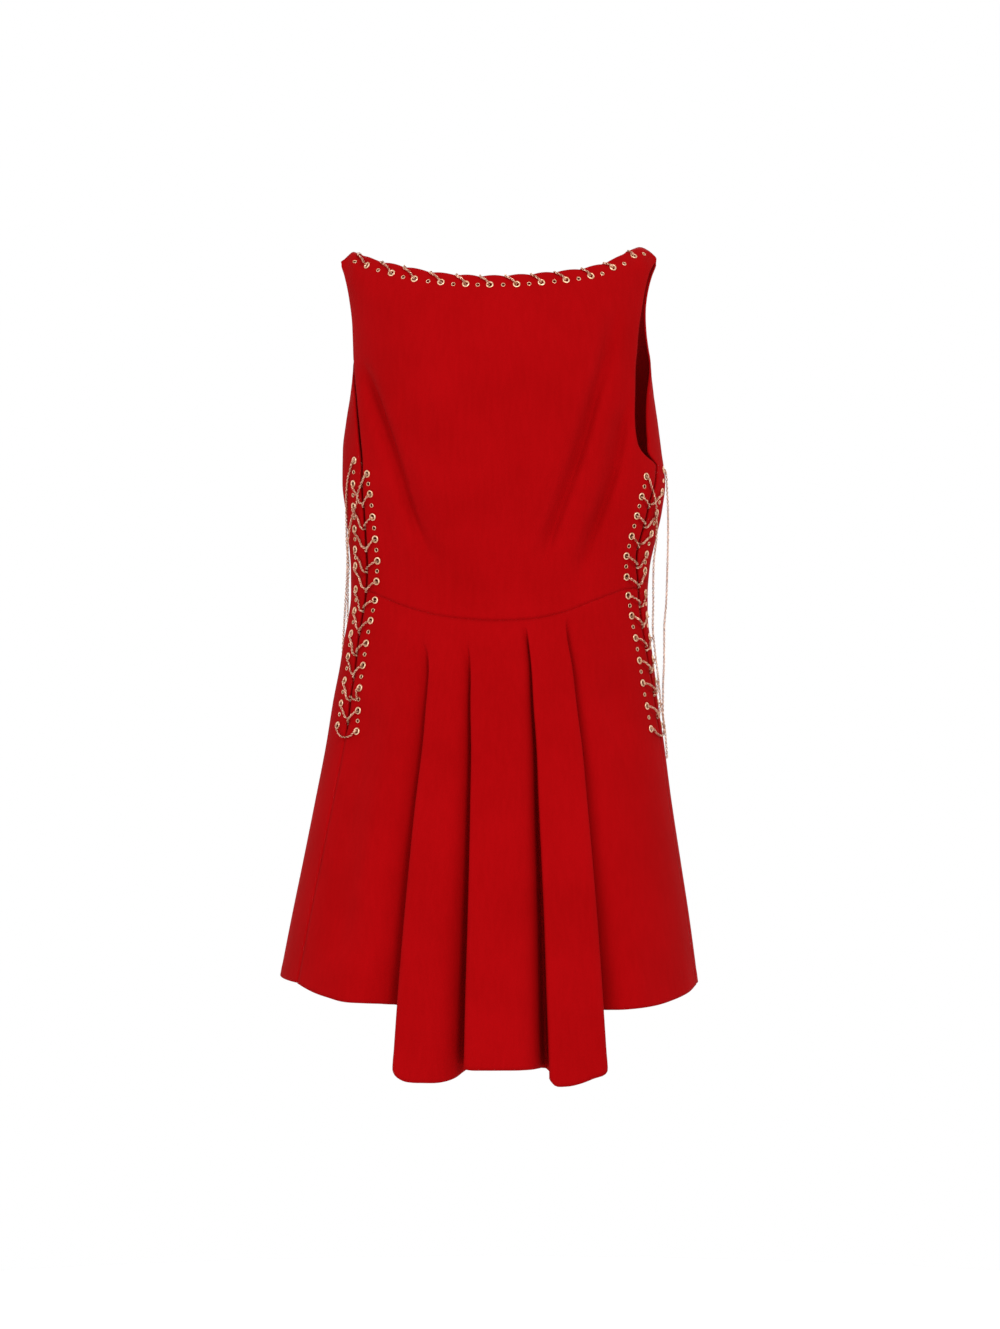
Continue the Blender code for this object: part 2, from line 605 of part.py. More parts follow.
def lace_path(side):
    """Course of a side's lace: down one strand to the lowest pair, across below the opening and up the other."""
    near, far = lace_levels(side)
    last = len(near) - 1

    def strand(start_row):
        rows = [near, far] if start_row == "near" else [far, near]
        shift = 1.7 if start_row == "near" else -1.7
        angle, z = rows[0][0]
        points = [over(*place) for place in lace_start(side, (angle, z))]
        points += [over(angle, z, RIDE * 0.4), over(angle, z, -RIDE - 0.4)]
        mid = gap_middle(side, z - 10)
        depth = -RIDE if start_row == "near" else -RIDE - 2.9
        points.append(over(mid, z - 12, depth - 0.4))
        for level in range(1, last + 1):
            angle, z = rows[level % 2][level]
            points += [over(angle, z, -RIDE - 0.3), over(angle, z, RIDE + 0.1)]
            if level == last:
                break
            from_near = rows[level % 2] is near
            vertex = (near[level][1] + near[level + 1][1]) / 2 + 0.8 + shift
            middle = gap_middle(side, vertex)
            step = 1.3 / float(mm_per_degree(middle, vertex)) * side
            toward = -1 if from_near else 1
            if side < 0 and from_near and level == 10:
                points.append(over(angle - 0.6, z - 12.5, RIDE + 0.3))
            elif not from_near:
                points.append(over((angle + middle) / 2, (z + vertex) / 2, RIDE + 0.4))
            points += [over(middle + toward * step, vertex + 0.3, RIDE + 0.2),
                       over(middle - toward * step, vertex - 0.3, -RIDE - 0.2)]
        return points

    down, up = strand("near"), strand("far")
    (a0, z0), (a1, z1) = near[last], far[last]
    if last % 2:
        (a0, z0), (a1, z1) = (a1, z1), (a0, z0)
    dip = [(0.18, -6.0), (0.5, -9.5), (0.82, -6.5)]
    smile = [over(a0 + (a1 - a0) * t, z0 + (z1 - z0) * t + drop, RIDE + 0.5) for t, drop in dip]
    return down + smile + up[::-1]


def lace_end_routes():
    """Routes of the four free ends, each from just under its top eyelet, as angle, height and lift off the cloth."""
    lift = RIDE + 0.2
    left_near = [(-59.6, -248, 3.6), (-61.2, -255, 4.9), (-64, -268, 5.3), (-68, -279, 5.3), (-72, -290, 5.3),
                 (-77, -306, 5.0), (-84, -322, 4.0), (-90, -340, 4.6), (-93, -362, 6.4), (-95, -388, 5.4),
                 (-98, -412, 3.4), (-102, -440, lift), (-104, -470, lift), (-105.5, -500, lift), (-106.2, -524, lift)]
    left_far = [(-69.4, -233, lift), (-72, -242, lift), (-76, -262, lift), (-82, -288, lift), (-88, -308, 2.9),
                (-95, -330, 3.6), (-99, -356, 6.6), (-101, -384, 5.6), (-105, -412, 3.2), (-108.5, -440, lift),
                (-110.5, -470, lift), (-111.6, -500, lift), (-112.4, -516, lift)]
    right_near = [(63.0, -249, 3.4), (65.0, -257, 4.8), (68.2, -270, 5.4), (71.6, -286, 5.4), (75.6, -300, 5.4),
                  (79, -314, 5.0), (81.5, -330, 5.6), (82, -350, 7.2), (81.6, -372, 7.8), (81, -396, 6.6),
                  (80.6, -420, 5.4), (80.4, -444, 5.3), (80.4, -475, 5.3), (80.6, -505, 5.3), (81, -532, 3.4)]
    right_far = [(84.6, -241, lift), (86.6, -254, 3.2), (87.6, -270, 6.2), (88.2, -290, 10.5), (88.8, -312, 15.5),
                 (89.4, -340, 19.6), (90, -370, 20.0), (90.4, -400, 16.6), (90.8, -430, 12.2), (91, -460, 7.8),
                 (91, -485, 4.6), (91, -502, 3.0)]
    routes = {}
    for name, side, row, rest in (("lace_end_left_near", -1, 0, left_near), ("lace_end_left_far", -1, 1, left_far),
                                  ("lace_end_right_near", 1, 0, right_near), ("lace_end_right_far", 1, 1, right_far)):
        (angle, z, height), _ = lace_start(side, lace_levels(side)[row][0])
        routes[name] = [(angle + side * 0.1, z - CLEAR, height)] + rest
    return routes


def main():
    for thing in list(bpy.data.objects):
        bpy.data.objects.remove(thing, do_unlink=True)

    def cloth(name):
        return make_material(name, RED, 0.8, 0.0)

    def metal(name):
        return make_material(name, BRASS, 0.3, 1.0)

    # Rows stand closer where the armholes turn into the side openings
    climb = np.array([0, 0.075, 0.15, 0.225, 0.3, 0.35, 0.376, 0.39, 0.408, 0.44, 0.5, 0.57, 0.64,
                      0.71, 0.78, 0.85, 0.905, 0.945, 0.972, 0.988, 1.0])
    front_columns = neck_shares(18, 4)
    back, back_waist = bodice("back_bodice", "back", waist_back, neck_back, neck_shares(21, 2), climb,
                              cloth("back_bodice_cloth"))
    front, front_waist = bodice("front_bodice", "front", waist_front, neck_front, front_columns, climb,
                                cloth("front_bodice_cloth"))
    fall = np.array([0, 0.05, 0.1, 0.17, 0.26, 0.353, 0.376, 0.396, 0.47, 0.6, 0.74, 0.87, 1.0])
    back_low = back_skirt("back_skirt", back_waist, fall, cloth("back_skirt_cloth"))
    front_low = front_skirt("front_skirt", front_waist, front_columns, fall, cloth("front_skirt_cloth"))

    above = [row for row in LACE_ROWS[:6]]
    below = [row for row in LACE_ROWS[6:]]
    neck_holes = [(angle, z) for angle, z, _ in NECK_EYELETS_BACK]
    front_holes = [(180 - across, z) for across, z, _ in front_neck_eyelets()]
    pierce(back, neck_holes + [(r[0], r[1]) for r in above] + [(r[4], r[5]) for r in above])
    pierce(front, front_holes + [(r[2], r[3]) for r in above] + [(r[6], r[7]) for r in above])
    pierce(back_low, [(r[0], r[1]) for r in below] + [(r[4], r[5]) for r in below])
    pierce(front_low, [(r[2], r[3]) for r in below] + [(r[6], r[7]) for r in below])

    add_tube("neck_chain", neck_chain_path(), CHAIN, metal("neck_chain_brass"), closed=True)
    for name, side in (("side_lace_left", -1), ("side_lace_right", 1)):
        add_tube(name, lace_path(side), CHAIN, metal(name + "_brass"))
    for name, route in lace_end_routes().items():
        add_cord(name, [over(*place) for place in route], metal(name + "_brass"))


main()
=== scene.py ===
"""Looks of a sleeveless mini dress with chain-laced sides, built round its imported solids.

Sizes are in millimetres and angles in degrees; meshes are made in metres. Angle 0 is the middle of the back,
which faces -Y, 90 the right side (+X) and 180 the middle of the front. The origin is the middle of the
shoulder line.
"""

import math

import bpy
import numpy as np
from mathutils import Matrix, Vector


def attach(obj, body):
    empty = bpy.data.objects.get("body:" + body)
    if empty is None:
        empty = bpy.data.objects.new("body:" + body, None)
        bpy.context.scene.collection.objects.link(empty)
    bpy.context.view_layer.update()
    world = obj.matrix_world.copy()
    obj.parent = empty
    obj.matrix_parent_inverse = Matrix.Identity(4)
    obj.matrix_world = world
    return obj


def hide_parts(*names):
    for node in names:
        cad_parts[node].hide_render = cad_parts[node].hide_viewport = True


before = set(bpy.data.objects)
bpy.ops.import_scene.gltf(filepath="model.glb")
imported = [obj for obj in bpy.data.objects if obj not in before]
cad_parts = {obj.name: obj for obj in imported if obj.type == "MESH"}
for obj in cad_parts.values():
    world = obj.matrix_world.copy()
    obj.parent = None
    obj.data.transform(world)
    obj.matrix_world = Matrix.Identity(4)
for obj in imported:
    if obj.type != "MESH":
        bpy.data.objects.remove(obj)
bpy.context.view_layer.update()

MM = 0.001

# Driving sizes; those of the panels and of the lacing are as the solids have them
CLOTH = 1.2  # cloth thickness
HEM = 0.4  # how much thicker the cloth is where its edge is turned in
HEM_WIDTH = 9.0  # width of the turned edge
SET_BACK = -0.08  # each panel's edge from its seam line; minus is past it, so that no light shows through
EYELET_BORE = 5.2  # bore through the cloth under a large eyelet's rim
SMALL_BORE = 3.4  # and under a small one's
NECK_CHAIN = 2.5  # width of the chain that is whipped over the neck edge
LACE_CHAIN = 2.4  # of the lacing
END_CHAIN = 2.4  # of the lacing's free ends
LINK_PITCH = 0.9  # from one link to the next, in widths of the chain
LINK_LENGTH = 0.8  # half a link's length, in pitches
LINK_WIRE = 0.17  # half the thickness of its wire, in widths of the chain
LINK_SLANT = 24.0  # how far each link leans along the chain
LINK_TWIST = 7.0  # how far the chain turns from one link to the next
LINK_SIDES = 10  # straight pieces of a link
WIRE_SIDES = 4  # sides of its wire
RIDE = 2.3  # chain's middle from the middle of the cloth
CLEAR = 0.4  # between a lace and its free end
ARMHOLE_END = -228.0  # height where the armhole ends and the side opening starts
OPENING_END = -509.0  # height where the side opening ends in a seam
CLOSES_FROM = 9.0  # how far above its end the opening starts to close
CLOSES_OVER = 12.0  # and the fall over which it does
ARMHOLE_NEARER = 0.37  # share by which the front's armhole edge draws near the back's towards the lacing
BLEND = 26.0  # how far under the shoulder seam the cloth keeps turning towards it
SHOULDER_FROM = 54.0  # angle from which the cloth is drawn in to the shoulder seam
SHOULDER_OVER = 11.0  # and the angle over which that comes on
PROBE, PROBE_UP = 0.5, 0.8  # half the angle and half the height over which directions are measured
TILT = 2.5  # how much higher the right shoulder stands, and the left one lower
GROOVE = 0.45  # depth of the groove along the waist seam
GROOVE_WIDTH = 2.5  # how far it spreads from the seam
GROOVE_X, GROOVE_REACH = 2.0, 62.0  # where it is deepest, and how far it shows to each side of that
SCALLOP = 2.1  # how far the neck edge bulges up between two stitches
PINCH = 1.2  # how far each stitch pulls it down

# Body sections: height, left side, right side, depth of the back, depth of the front
SECTIONS = [
    (3, -165, 165.5, 0, 0), (0, -165, 165.5, 4, 4), (-1, -165, 165.5, 9, 8), (-3, -165, 165.5, 20, 17),
    (-6, -165, 165.8, 31, 26), (-10, -165, 166, 41, 34), (-16, -164.2, 165.6, 52, 42),
    (-26, -161, 163, 65, 54), (-49, -156, 160, 80, 72), (-80, -152.3, 158.8, 89, 90),
    (-118, -151.3, 159.6, 96, 106), (-149, -154, 162.6, 98.5, 115), (-180, -158.8, 167, 98, 119),
    (-211, -162.4, 171, 96, 118), (-245, -162.8, 175, 93, 112), (-275, -159.3, 171.5, 89, 105),
    (-306, -156.2, 164.5, 84, 98), (-335, -154, 158.6, 80, 94), (-362, -153.8, 156.6, 78, 92),
    (-386, -156.6, 156.8, 80, 93.5), (-410, -161.2, 159.6, 86, 97), (-436, -165.2, 163.2, 94, 104),
    (-472, -172.2, 167, 103, 112), (-520, -180, 174, 114, 121), (-574, -190.5, 181, 125, 130),
    (-644, -204.5, 191.6, 138, 141), (-700, -216, 200.2, 147, 149), (-770, -229.5, 209.5, 157, 157),
    (-870, -247, 222, 170, 166),
]

# Top edge over the shoulders, the same for back and front: angle, height
NECK_LEFT = [(-90, -13), (-78, -10.3), (-72, -6.4), (-67, -2.7)]
NECK_RIGHT = [(64, 2.4), (72, -1), (80, -5.6), (90, -9.5)]
# Top edge of the back
NECK_BACK = NECK_LEFT + [
    (-62.8, -4.5), (-51, -14), (-36.7, -23), (-25.9, -29.5), (-15.8, -33.4), (-5, -35), (2, -34.6),
    (11.8, -32.8), (21, -30), (31.6, -26), (40.4, -20), (50, -10), (58.9, 0),
] + NECK_RIGHT
# Top edge of the front, its angle counted from the middle of the front
NECK_FRONT = NECK_LEFT + [
    (-62, -5.6), (-56, -9.2), (-50, -12.4), (-43, -15.2), (-36, -17.8), (-20, -22), (0, -24), (20, -21.6),
    (36, -16.2), (43, -12.8), (50, -8.2), (56, -3.4), (60, 0),
] + NECK_RIGHT
NECK_POINT_LEFT, NECK_POINT_RIGHT = -67.0, 64.0
# The same as shares of the way across
NECK_SHARE_LEFT, NECK_SHARE_RIGHT = 0.5 + NECK_POINT_LEFT / 180, 0.5 + NECK_POINT_RIGHT / 180

# Waist seam: angle, height
WAIST_BACK = [
    (-90, -352), (-62, -358.5), (-49.5, -367), (-36, -377), (-23.3, -384.5), (-13, -388), (0, -390),
    (12, -388.5), (25.3, -381.5), (37, -371), (49, -362), (58, -357), (70, -354.6), (95, -353),
]
WAIST_FRONT = [(-120, -343), (-90, -346), (-40, -362), (0, -366), (40, -363), (90, -350), (110, -348)]

# Armhole and side edges of the back panels: height, left angle, right angle
EDGE_BACK = [
    (-9, -89.4, 89.4), (-13, -88.4, 84), (-17, -87.4, 78), (-41, -87.8, 72.8), (-66, -87.9, 69.4),
    (-90, -87.8, 66.2), (-108, -87, 64.6), (-125, -81.6, 62.6), (-151, -72.8, 60.2), (-180, -65.4, 57.8),
    (-195, -62.6, 57.2), (-206, -61, 57.6), (-213, -60.3, 59.3), (-218, -60, 62), (-222, -59.8, 65.6),
    (-227, -59.7, 70.6), (-236, -59.7, 69.1), (-250, -60, 67.2), (-264, -60.4, 64.5), (-293, -60.9, 63),
    (-316, -61.2, 62), (-335, -61.3, 64.3), (-356, -61.8, 67.6), (-374, -63, 69), (-390, -63.3, 71),
    (-424, -62.8, 72.4), (-440, -62.3, 73.6), (-464, -61.9, 76), (-500, -62, 76.8),
]
# Armhole edge of the front bodice, angle from the back as above
ARMHOLE_FRONT = [
    (-9, -90.6, 90.6), (-13, -92.5, 91), (-20, -96, 95), (-35, -106, 100), (-60, -114, 103),
    (-85, -112, 101), (-103, -103, 97), (-118, -92.5, 90), (-130, -85.5, 82.5), (-150, -76.5, 73.5),
    (-180, -68.8, 67.5), (-200, -65.4, 66.2), (-213, -63.8, 66.6), (-221, -63, 70), (-228, -62.8, 74),
]
SIDE_SEAM = [(-512, -63.2, 78), (-600, -63.6, 79), (-760, -64, 80)]
GAP = 3.4  # width of the side opening, along the cloth

# Large eyelets of the sides, from the top: left row on the back, left row on the front, then the same at the
# right, each as angle, height
LACE_ROWS = [
    (-56.8, -237.6, -66.7, -223.0, 60.9, -240.1, 82.5, -231.6),
    (-55.5, -258.4, -67.8, -247.1, 58.2, -260.9, 77.9, -254.5),
    (-55.8, -282.1, -70.0, -270.4, 56.8, -280.9, 74.2, -276.8),
    (-55.3, -305.1, -71.5, -293.7, 56.2, -302.0, 73.4, -298.5),
    (-54.6, -327.6, -73.0, -314.9, 55.4, -322.5, 73.0, -319.8),
    (-55.0, -348.9, -74.2, -332.0, 57.4, -344.2, 74.6, -337.0),
    (-55.8, -368.4, -73.9, -356.5, 59.3, -363.6, 79.0, -360.4),
    (-57.0, -389.7, -73.4, -379.0, 62.0, -384.5, 81.6, -383.0),
    (-57.4, -413.3, -72.6, -402.8, 63.6, -407.7, 82.8, -406.0),
    (-57.5, -436.3, -71.7, -426.7, 64.3, -431.1, 83.8, -429.0),
    (-57.2, -459.6, -70.8, -451.7, 65.3, -454.5, 85.6, -452.0),
    (-56.9, -483.0, -70.2, -475.6, 67.0, -478.4, 87.0, -475.0),
    (-56.6, -504.4, -70.6, -498.4, 67.8, -502.1, 87.4, -498.6),
]
# The four rows: left on the back, left on the front, right on the back, right on the front
SIDE_HOLES = [[row[i:i + 2] for row in LACE_ROWS] for i in (0, 2, 4, 6)]

# How the lacing runs, as distances along the cloth
HOLE_INSIDE, HOLE_OUTSIDE = 0.8, 1.6  # from an eyelet's middle to where the chain enters it and leaves it
ROUND_EDGE = 1.3  # half the way that the chain takes round the cloth's edge
STRANDS_APART = 1.7  # half the height between the crossings of the two strands
CROSSING_RISE = 0.8  # height of their middle over the middle between two eyelets
BEHIND = 2.9  # how much further inside the second strand starts
HANGING_LEVEL = 10  # level of the left side at which the chain hangs straight down from its eyelet

# Large eyelets under the neck edge of the back: angle, height, angle at which the stitch crosses that edge
NECK_EYELETS_BACK = [
    (58.5, -9.0, 54.5), (46.6, -23.3, 41.4), (36.1, -33.5, 31.8), (25.5, -38.7, 20.8), (15.7, -41.8, 11.8),
    (6.3, -44.0, 2.3), (-3.7, -44.4, -7.0), (-12.7, -43.4, -15.8), (-22.3, -41.1, -25.9),
    (-33.3, -36.8, -36.7), (-43.7, -29.5, -47.0), (-56.6, -19.5, -61.0),
]
FRONT_EYELET_DROP = 9.5  # under the front's neck edge
FRONT_EYELET_ANGLES = (-54.5, -44.5, -34.5, -24.5, -14.5, -4.8, 4.8, 14.5, 24.5, 34.5, 44.5, 54.5)
FRONT_STITCH_LEAD = 4.6  # from each eyelet to its crossing

# Soft folds reach past their runs, and fade over a fall at the top and at the foot
FOLD_REACH, FOLD_IN, FOLD_OUT = 15, 45, 40
# How deep, how wide (1 sigma), then the run of the fold as angle, height
FOLDS = [
    (4.2, 9.0, [(-68, -120), (-45.4, -204), (-39.2, -237), (-31.7, -294), (-25, -340)]),
    (3.4, 8.0, [(50, -66), (44.4, -121), (36.4, -168), (27.1, -225), (21.1, -266), (16.5, -320)]),
    (3.8, 9.0, [(52, -168), (43.4, -226), (38.9, -271), (35.8, -309), (32.2, -350)]),
    (2.0, 14.0, [(-50, -270), (-46, -320), (-38, -356)]),
    (4.5, 17.0, [(-53, -470), (-52.4, -565), (-44.3, -742)]),
    (3.5, 16.0, [(42, -440), (41.5, -574), (43, -740)]),
    (4.0, 12.0, [(222, -120), (208, -230), (200, -320)]),
    (3.6, 12.0, [(136, -120), (150, -230), (160, -320)]),
    (5.0, 22.0, [(150, -400), (146, -560), (142, -740)]),
    (5.0, 22.0, [(212, -400), (214, -560), (218, -740)]),
    (4.0, 22.0, [(182, -420), (181, -560), (180, -730)]),
]

# Pleats of the back skirt from the left: side of the edge that is folded under, edge's angle at four heights
PLEAT_HEIGHTS = (-390, -472, -600, -845)
PLEATS = [
    (1, (-26.2, -24.5, -25.2, -24.2)),
    (1, (-10.2, -8.5, -6.8, -5.4)),
    (1, (11.2, 13.5, 15.0, 16.5)),
    (-1, (25.7, 29.1, 31.3, 32.2)),
]
PLEAT_DEPTH_TOP, PLEAT_DEPTH_HEM = 5.0, 36.0
PLEAT_WIDTH_TOP, PLEAT_WIDTH_HEM = 4.0, 11.0
# Cross-section of a pleat: along the cloth from its edge, in widths (the receding side is minus), then depth
PLEAT_SHAPE = [
    (-3.0, 0.0), (-1.8, 0.16), (-0.9, 0.48), (-0.25, 0.86), (0.3, 1.0), (0.48, 0.78), (0.16, 0.36),
    (0.0, 0.05), (0.28, 0.0),
]
# How much wider than the shape's its receding side is, for each pleat
PLEAT_RECEDES = (2.2, 1.35, 1.0, 1.4)
# Height at which each pleat starts to open, and the fall over which it does
PLEAT_OPENINGS = [(-398, 46), (-392, 70), (-388, 30), (-381, 30)]
# Hem height of each point of that cross-section, a row for each pleat
PLEAT_HEMS = [
    (-779, -780, -781, -784, -797, -812, -829, -845, -850),
    (-857, -857, -854, -848, -844, -843, -843, -843, -843.5),
    (-844, -844, -844, -845, -846, -848, -851, -855, -859.5),
    (-786, -787, -787.5, -789, -800, -814, -830, -847, -850),
]
# Hem between the pleats: columns of each stretch, each with its share of the way across and its height
HEM_STRETCHES = [
    [(0.0, -764.5), (0.27, -769), (0.52, -773), (0.76, -776)],
    [(0.33, -855.5), (0.7, -857)],
    [(0.33, -844), (0.67, -844)],
    [(0.22, -861), (0.5, -858.5), (0.76, -854)],
    [(0.22, -784), (0.45, -780), (0.72, -775), (1.0, -769)],
]
HEM_FRONT = [
    (-120, -764.5), (-90, -760), (-60, -752), (-30, -746), (0, -744), (30, -748), (60, -757), (90, -767),
    (110, -769),
]


def through(rows, column=1):
    """A smooth function through a table's rows, column 0 of which says where: a cubic between each two
    rows. Its slope at a row is the weighted harmonic mean of those beside it, or none where they turn, so
    that it never overshoots."""
    rows = sorted(rows)
    knots = np.array([row[0] for row in rows], float)
    values = np.array([row[column] for row in rows], float)
    steps = np.diff(knots)
    slopes = np.diff(values) / steps
    bends = np.empty(len(knots))
    bends[0], bends[-1] = slopes[0], slopes[-1]
    for i in range(1, len(knots) - 1):
        a, b = slopes[i - 1], slopes[i]
        w1, w2 = 2 * steps[i] + steps[i - 1], steps[i] + 2 * steps[i - 1]
        bends[i] = 0.0 if a * b <= 0 else (w1 + w2) / (w1 / a + w2 / b)

    def at(where):
        """Value at a place, held at the ends."""
        where = np.clip(np.asarray(where, float), knots[0], knots[-1])
        i = np.clip(np.searchsorted(knots, where, side="right") - 1, 0, len(steps) - 1)
        t = (where - knots[i]) / steps[i]
        return ((2 * t**3 - 3 * t**2 + 1) * values[i] + (t**3 - 2 * t**2 + t) * steps[i] * bends[i]
                + (3 * t**2 - 2 * t**3) * values[i + 1] + (t**3 - t**2) * steps[i] * bends[i + 1])

    return at


def smooth_step(t):
    """From 0 to 1 as t goes from 0 to 1, level at both ends: three squares less two cubes."""
    t = np.clip(t, 0.0, 1.0)
    return t * t * (3 - 2 * t)


def unit(vectors):
    """Vectors brought to length 1."""
    return vectors / np.maximum(np.linalg.norm(vectors, axis=-1, keepdims=True), 1e-9)


def walked_along(points):
    """Distance from the first point to each, along the line through them all."""
    return np.concatenate([[0], np.cumsum(np.linalg.norm(np.diff(points, axis=0), axis=1))])


def circle(count):
    """Evenly spaced angles round a circle, in radians."""
    return np.arange(count) * 2 * math.pi / count


left_side, right_side, back_depth, front_depth = (through(SECTIONS, i) for i in (1, 2, 3, 4))
neck_back, neck_front = through(NECK_BACK), through(NECK_FRONT)
waist_back, waist_front = through(WAIST_BACK), through(WAIST_FRONT)
back_left, back_right = through(EDGE_BACK, 1), through(EDGE_BACK, 2)
armhole_left, armhole_right = through(ARMHOLE_FRONT, 1), through(ARMHOLE_FRONT, 2)
seam_left, seam_right = through(SIDE_SEAM, 1), through(SIDE_SEAM, 2)
fold_runs = [(depth, width, through([(z, angle) for angle, z in run]), run[-1][1], run[0][1])
             for depth, width, run in FOLDS]


def mm_per_degree(angle, z):
    """Length along the cloth of one degree round the body."""
    a = (right_side(z) - left_side(z)) / 2
    co, si = np.cos(np.radians(angle)), np.sin(np.radians(angle))
    b = np.where(co > 0, back_depth(z), front_depth(z))
    return np.hypot(a * co, b * si) * math.pi / 180


def side_edge(side, z, panel):
    """Angle of a panel's edge at one side, -1 left and 1 right: armhole, side opening, then side seam."""
    z = np.asarray(z, float)
    back = (back_left if side < 0 else back_right)(z)
    seam = (seam_left if side < 0 else seam_right)(z)
    scale = mm_per_degree(back, z)
    closing = smooth_step((OPENING_END + CLOSES_FROM - z) / CLOSES_OVER)
    if panel == "back":
        return back * (1 - closing) + (seam - side * SET_BACK / scale) * closing
    gap = back + side * GAP / scale
    armhole = (armhole_left if side < 0 else armhole_right)(z)
    # Where the front's armhole edge starts to draw near the back's, and over what fall
    start, fall = (-120, 100) if side < 0 else (-198, 28)
    nearer = 1 - ARMHOLE_NEARER * smooth_step((start - z) / fall)
    joined = np.where(z > ARMHOLE_END, back + (armhole - back) * nearer, gap)
    return joined * (1 - closing) + (seam + side * SET_BACK / scale) * closing


def edge_angles(panel):
    """A panel's side edges as functions of height; the front's angles count from the middle of the front."""
    if panel == "back":
        return (lambda z: side_edge(-1, z, panel)), (lambda z: side_edge(1, z, panel))
    return (lambda z: -180 - side_edge(-1, z, panel)), (lambda z: 180 - side_edge(1, z, panel))


def oval_depth(co, si, z):
    """Depth of the oval at a height, behind or in front, with the shoulders' tilt."""
    z = z - TILT * si
    return np.where(co > 0, back_depth(z), front_depth(z))


def body(angle, z):
    """Middle of the cloth: an oval with its own depth at back and front, drawn in to the shoulder seams, and
    pressed in along each fold by a bell across its run."""
    angle, z = np.broadcast_arrays(np.asarray(angle, float), np.asarray(z, float))
    left, right = left_side(z), right_side(z)
    a, c = (right - left) / 2, (right + left) / 2
    co, si = np.cos(np.radians(angle)), np.sin(np.radians(angle))
    b = oval_depth(co, si, z)
    x, y = c + a * si, -b * co
    across = np.degrees(np.arcsin(np.clip(si, -1, 1)))
    seam_height = neck_back(across)
    near_top = 1 - smooth_step((seam_height - z) / BLEND)
    at_shoulder = smooth_step((np.abs(across) - SHOULDER_FROM) / SHOULDER_OVER)
    at_seam = -co * oval_depth(co, si, seam_height)
    y = y - at_seam * near_top * at_shoulder
    out = unit(np.stack([si * b, -co * a], -1))
    inward = np.zeros(np.shape(x))
    for depth, width, run, low, high in fold_runs:
        off = (angle - run(z) + 180) % 360 - 180
        reach = off * mm_per_degree(angle, z) / width
        fade = smooth_step((high + FOLD_REACH - z) / FOLD_IN) * smooth_step((z - low + FOLD_REACH) / FOLD_OUT)
        inward = inward + depth * fade * np.exp(-0.5 * reach**2)
    return np.stack([x - out[..., 0] * inward, y - out[..., 1] * inward, z * np.ones_like(x)], -1)


def skin_frame(angle, z):
    """Point on the cloth, with its outward normal and the direction up along the cloth."""
    point = body(angle, z)
    around = body(angle + PROBE, z) - body(angle - PROBE, z)
    up = body(angle, z + PROBE_UP) - body(angle, z - PROBE_UP)
    return point, unit(np.cross(around, up)), unit(up)


def over(angle, z, lift):
    """Point at a distance outside the middle of the cloth, or inside it where the lift is negative."""
    point, normal, _ = skin_frame(angle, z)
    return point + normal * lift


def pleat_size(z):
    """Depth and width of a pleat at a height, both growing with the share of the way from top to hem."""
    top, hem = PLEAT_HEIGHTS[0], PLEAT_HEIGHTS[-1]
    t = np.clip((top - np.asarray(z, float)) / (top - hem), 0, 1)
    return (PLEAT_DEPTH_TOP + (PLEAT_DEPTH_HEM - PLEAT_DEPTH_TOP) * t**0.9,
            PLEAT_WIDTH_TOP + (PLEAT_WIDTH_HEM - PLEAT_WIDTH_TOP) * t)


def pleat_opening(i, z):
    """How far a pleat has opened at a height: not at all at its start, wholly at the end of its opening."""
    start, length = PLEAT_OPENINGS[i]
    return smooth_step((start - np.asarray(z, float)) / length)


pleat_edges = [through(list(zip(PLEAT_HEIGHTS, angles))) for _, angles in PLEATS]


def back_skirt_columns():
    """Columns of the back skirt from left to right: angle and share of the pleat's depth as functions of
    height, then hem height."""
    def pleat_point(i, k):
        """Column at point k of pleat i: evenly spread where it is closed, at its place when open."""
        along, share = PLEAT_SHAPE[k]
        along *= PLEAT_RECEDES[i] if along < 0 else 1
        first, final = PLEAT_SHAPE[0][0] * PLEAT_RECEDES[i], PLEAT_SHAPE[-1][0]
        even = first + (final - first) * k / (len(PLEAT_SHAPE) - 1)
        side = PLEATS[i][0]

        def angle(z):
            """Angle of the column: so many widths of the pleat from its edge."""
            edge = pleat_edges[i](z)
            place = even + (along - even) * pleat_opening(i, z)
            return edge + side * place * pleat_size(z)[1] / mm_per_degree(edge, z)

        return angle, lambda z: share * pleat_opening(i, z), PLEAT_HEMS[i][k]

    groups = []
    for i in range(len(PLEATS)):
        points = [pleat_point(i, k) for k in range(len(PLEAT_SHAPE))]
        groups.append(points if PLEATS[i][0] > 0 else points[::-1])
    left, right = edge_angles("back")
    columns = []
    for i, stretch in enumerate(HEM_STRETCHES):
        start = groups[i - 1][-1][0] if i else left
        end = groups[i][0][0] if i < len(groups) else right
        for share, hem in stretch:
            columns.append((lambda z, s=share, p=start, q=end: p(z) + (q(z) - p(z)) * s,
                            lambda z: 0 * z, hem))
        if i < len(groups):
            columns += groups[i]
    return columns


def smooth_route(route, spacing):
    """Evenly spaced points of a smooth curve through a route's own points."""
    route = np.asarray(route, float)
    walked = walked_along(route)
    lines = [through(list(zip(walked, route[:, i]))) for i in range(3)]
    count = max(2, int(round(walked[-1] / spacing)) + 1)
    where = np.linspace(0, walked[-1], count)
    return np.stack([line(where) for line in lines], 1)


# Angle, height and crossing of the front's eyelets, in the order in which the chain meets them; their angles
# count from the middle of the front
front_neck = [(across, float(neck_front(across)) - FRONT_EYELET_DROP,
               min(across + FRONT_STITCH_LEAD, NECK_POINT_RIGHT - 2)) for across in FRONT_EYELET_ANGLES]


